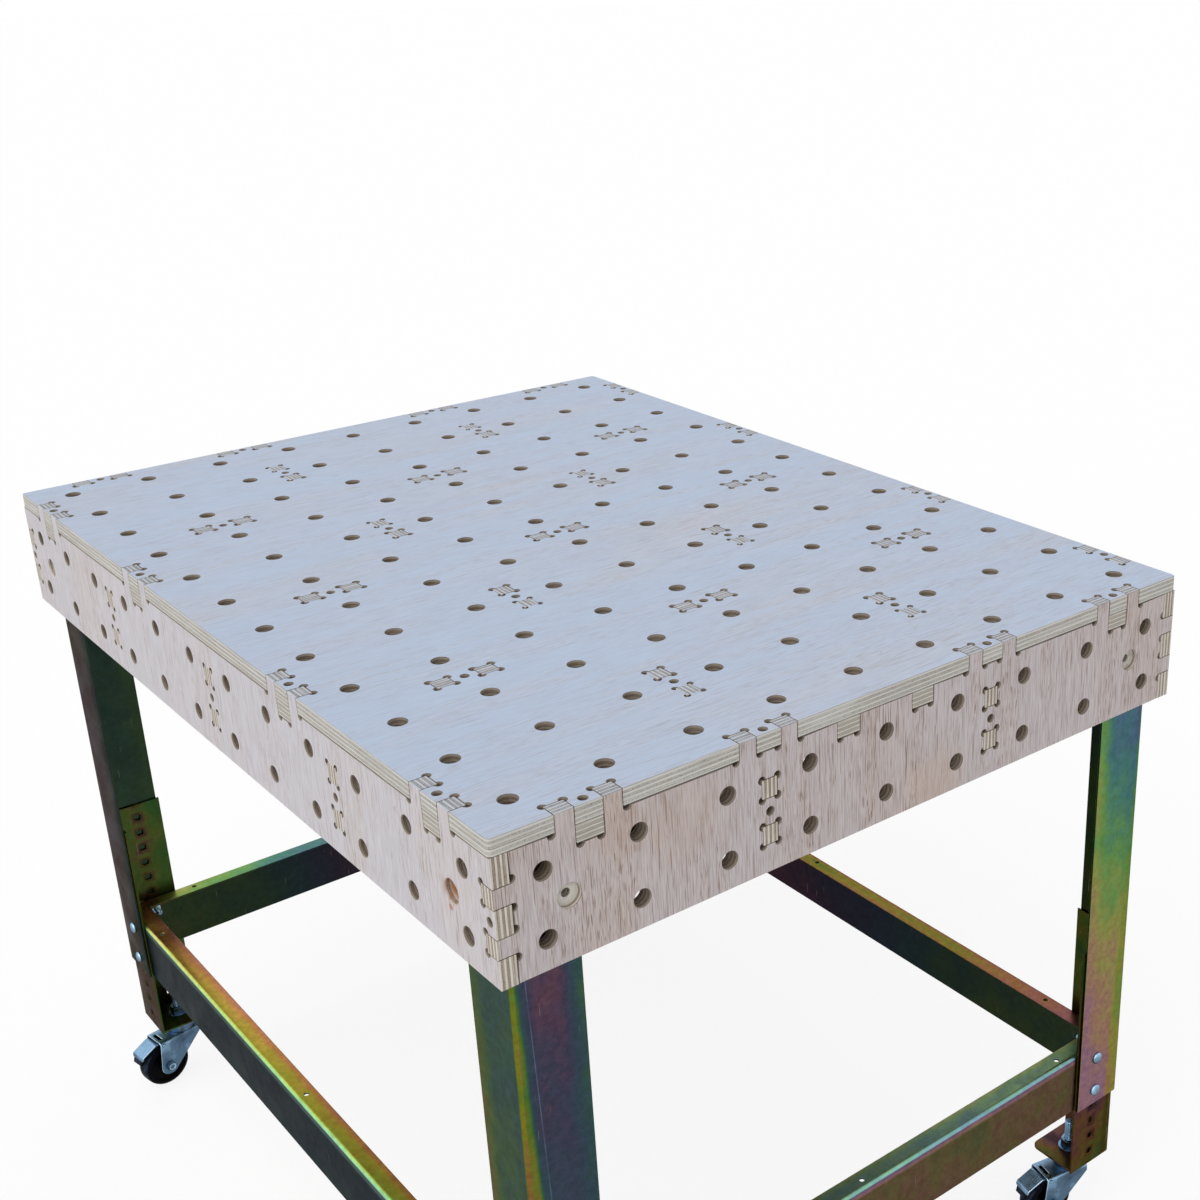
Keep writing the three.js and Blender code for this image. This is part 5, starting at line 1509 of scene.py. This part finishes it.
def add_casters(metal, rim, tread, core):
    # rim is the paler zinc of painted highlights on pressed rims and axle collars
    steel, black = "bright_zinc", "black_rubber"
    parts = {
        "stem": (stem_mesh(), [metal], "foot", steel),
        "stem_nut": (stem_nut_mesh(), [metal], "foot", steel),
        "fork": (fork_mesh(), [metal, rim], "swivel", steel),
        "axle": (axle_mesh(), [metal, rim], "swivel", steel),
        "wheel": (wheel_mesh(), [tread, core], "wheel", black),
        "brake_lever": (lever_mesh(), [metal, rim], "brake", steel),
        "brake_pad": (pad_mesh(), [tread], "brake", black),
    }
    for corner in CORNERS:
        stem, wheel = (sum(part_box(f"{corner}_caster_{part}"), Vector()) / 2
                       for part in ("stem", "wheel"))
        turn = Matrix.Rotation(math.atan2(wheel.y - stem.y, wheel.x - stem.x), 4, "Z")
        place = Matrix.Translation((stem.x, stem.y, FOOT_BOTTOM)) @ turn
        for part, (mesh, materials, body, slot) in parts.items():
            show(f"{corner}_{part}_detail", mesh, materials, f"{corner}_{body}",
                 f"{corner}_caster_{part}", slot, place)


# The studio

def add_camera():
    camera = linked("camera", bpy.data.cameras.new("camera"))
    camera.location = CAMERA_PLACE
    camera.rotation_euler = Euler([math.radians(value) for value in CAMERA_TURN])
    camera.data.lens = CAMERA_LENS
    camera.data.sensor_width = CAMERA_SENSOR
    camera.data.shift_x, camera.data.shift_y = CAMERA_SHIFT
    camera.data.dof.use_dof = False
    bpy.context.scene.camera = camera


def seen_directly(nodes, links):
    """A share of 1 for camera, mirror and glass rays, and 0 for the rays that light the object."""
    rays = nodes.new("ShaderNodeLightPath")
    share = rays.outputs["Is Camera Ray"]
    for name in ("Is Glossy Ray", "Is Transmission Ray"):
        larger = nodes.new("ShaderNodeMath")
        larger.operation = "MAXIMUM"
        links.new(share, larger.inputs[0])
        links.new(rays.outputs[name], larger.inputs[1])
        share = larger.outputs[0]
    return share


def add_world(light_share):
    world = bpy.data.worlds.new("studio")
    bpy.context.scene.world = world
    world.use_nodes = True
    nodes, links = world.node_tree.nodes, world.node_tree.links
    background = nodes["Background"]
    background.inputs["Color"].default_value = (1, 1, 1, 1)
    strength = nodes.new("ShaderNodeMapRange")
    strength.inputs["To Min"].default_value = light_share
    strength.inputs["To Max"].default_value = 1
    links.new(seen_directly(nodes, links), strength.inputs["Value"])
    links.new(strength.outputs[0], background.inputs["Strength"])


def add_floor(size, shadow_share):
    """A pale floor that keeps the table's shadow. A view passes it to the white beyond, so that a
    foot let down below it, or the table from underneath, still shows."""
    shaped = bmesh.new()
    bmesh.ops.create_circle(shaped, cap_ends=True, segments=96, radius=size)
    mesh = bpy.data.meshes.new("floor")
    shaped.to_mesh(mesh)
    shaped.free()
    floor = linked("floor", mesh)
    material = bpy.data.materials.new("floor")
    material.use_nodes = True
    nodes, links = material.node_tree.nodes, material.node_tree.links
    diffuse = nodes["Principled BSDF"]
    diffuse.inputs["Base Color"].default_value = (0.82, 0.82, 0.82, 1)
    diffuse.inputs["Roughness"].default_value = 0.9
    clear = nodes.new("ShaderNodeBsdfTransparent")
    shadowed = nodes.new("ShaderNodeBsdfDiffuse")
    shadowed.inputs["Color"].default_value = (1, 1, 1, 1)
    pale = nodes.new("ShaderNodeMixShader")
    pale.inputs[0].default_value = shadow_share
    chosen = nodes.new("ShaderNodeMixShader")
    links.new(seen_directly(nodes, links), chosen.inputs[0])
    for mixed, first, second in ((pale, clear, shadowed), (chosen, diffuse, pale)):
        links.new(first.outputs[0], mixed.inputs[1])
        links.new(second.outputs[0], mixed.inputs[2])
    links.new(chosen.outputs[0], nodes["Material Output"].inputs["Surface"])
    mesh.materials.append(material)


def add_sun(name, direction, strength, softness):
    sun = linked(name, bpy.data.lights.new(name, "SUN"))
    sun.data.energy = strength
    sun.data.angle = math.radians(softness)
    sun.rotation_euler = Vector(direction).to_track_quat("Z", "Y").to_euler()


add_camera()
bpy.context.scene.view_settings.view_transform = "Standard"
add_world(light_share=0.62)
add_floor(size=30, shadow_share=0.16)
add_sun("key", (-0.75, -0.25, 0.85), strength=1.5, softness=70)

# Up, side and down colours of each zinc: painted sky reflection through to painted shade
bolt_zinc = zinc("bolt_zinc", (168, 206, 236), (120, 146, 164), (52, 52, 60))
caster_zinc = zinc("caster_zinc", (146, 182, 214), (84, 108, 130), (28, 36, 48))
# Painted highlight: paler zinc for the rims of the fork and lever and the axle's collars
rim_highlight_zinc = zinc("rim_highlight_zinc", (206, 230, 244), (158, 190, 210), (60, 84, 100), 0.25)
# The tread's second colour is dust with a painted bluish sheen
tread_rubber = rubber("tread_rubber", (7, 8, 12), (66, 76, 102), 0.5, 0.7)
core_nylon = rubber("core_nylon", (2, 2, 3), (7, 8, 12), 0.4, 0.5)
add_box()
add_frame(bolt_zinc)
add_casters(caster_zinc, rim_highlight_zinc, tread_rubber, core_nylon)
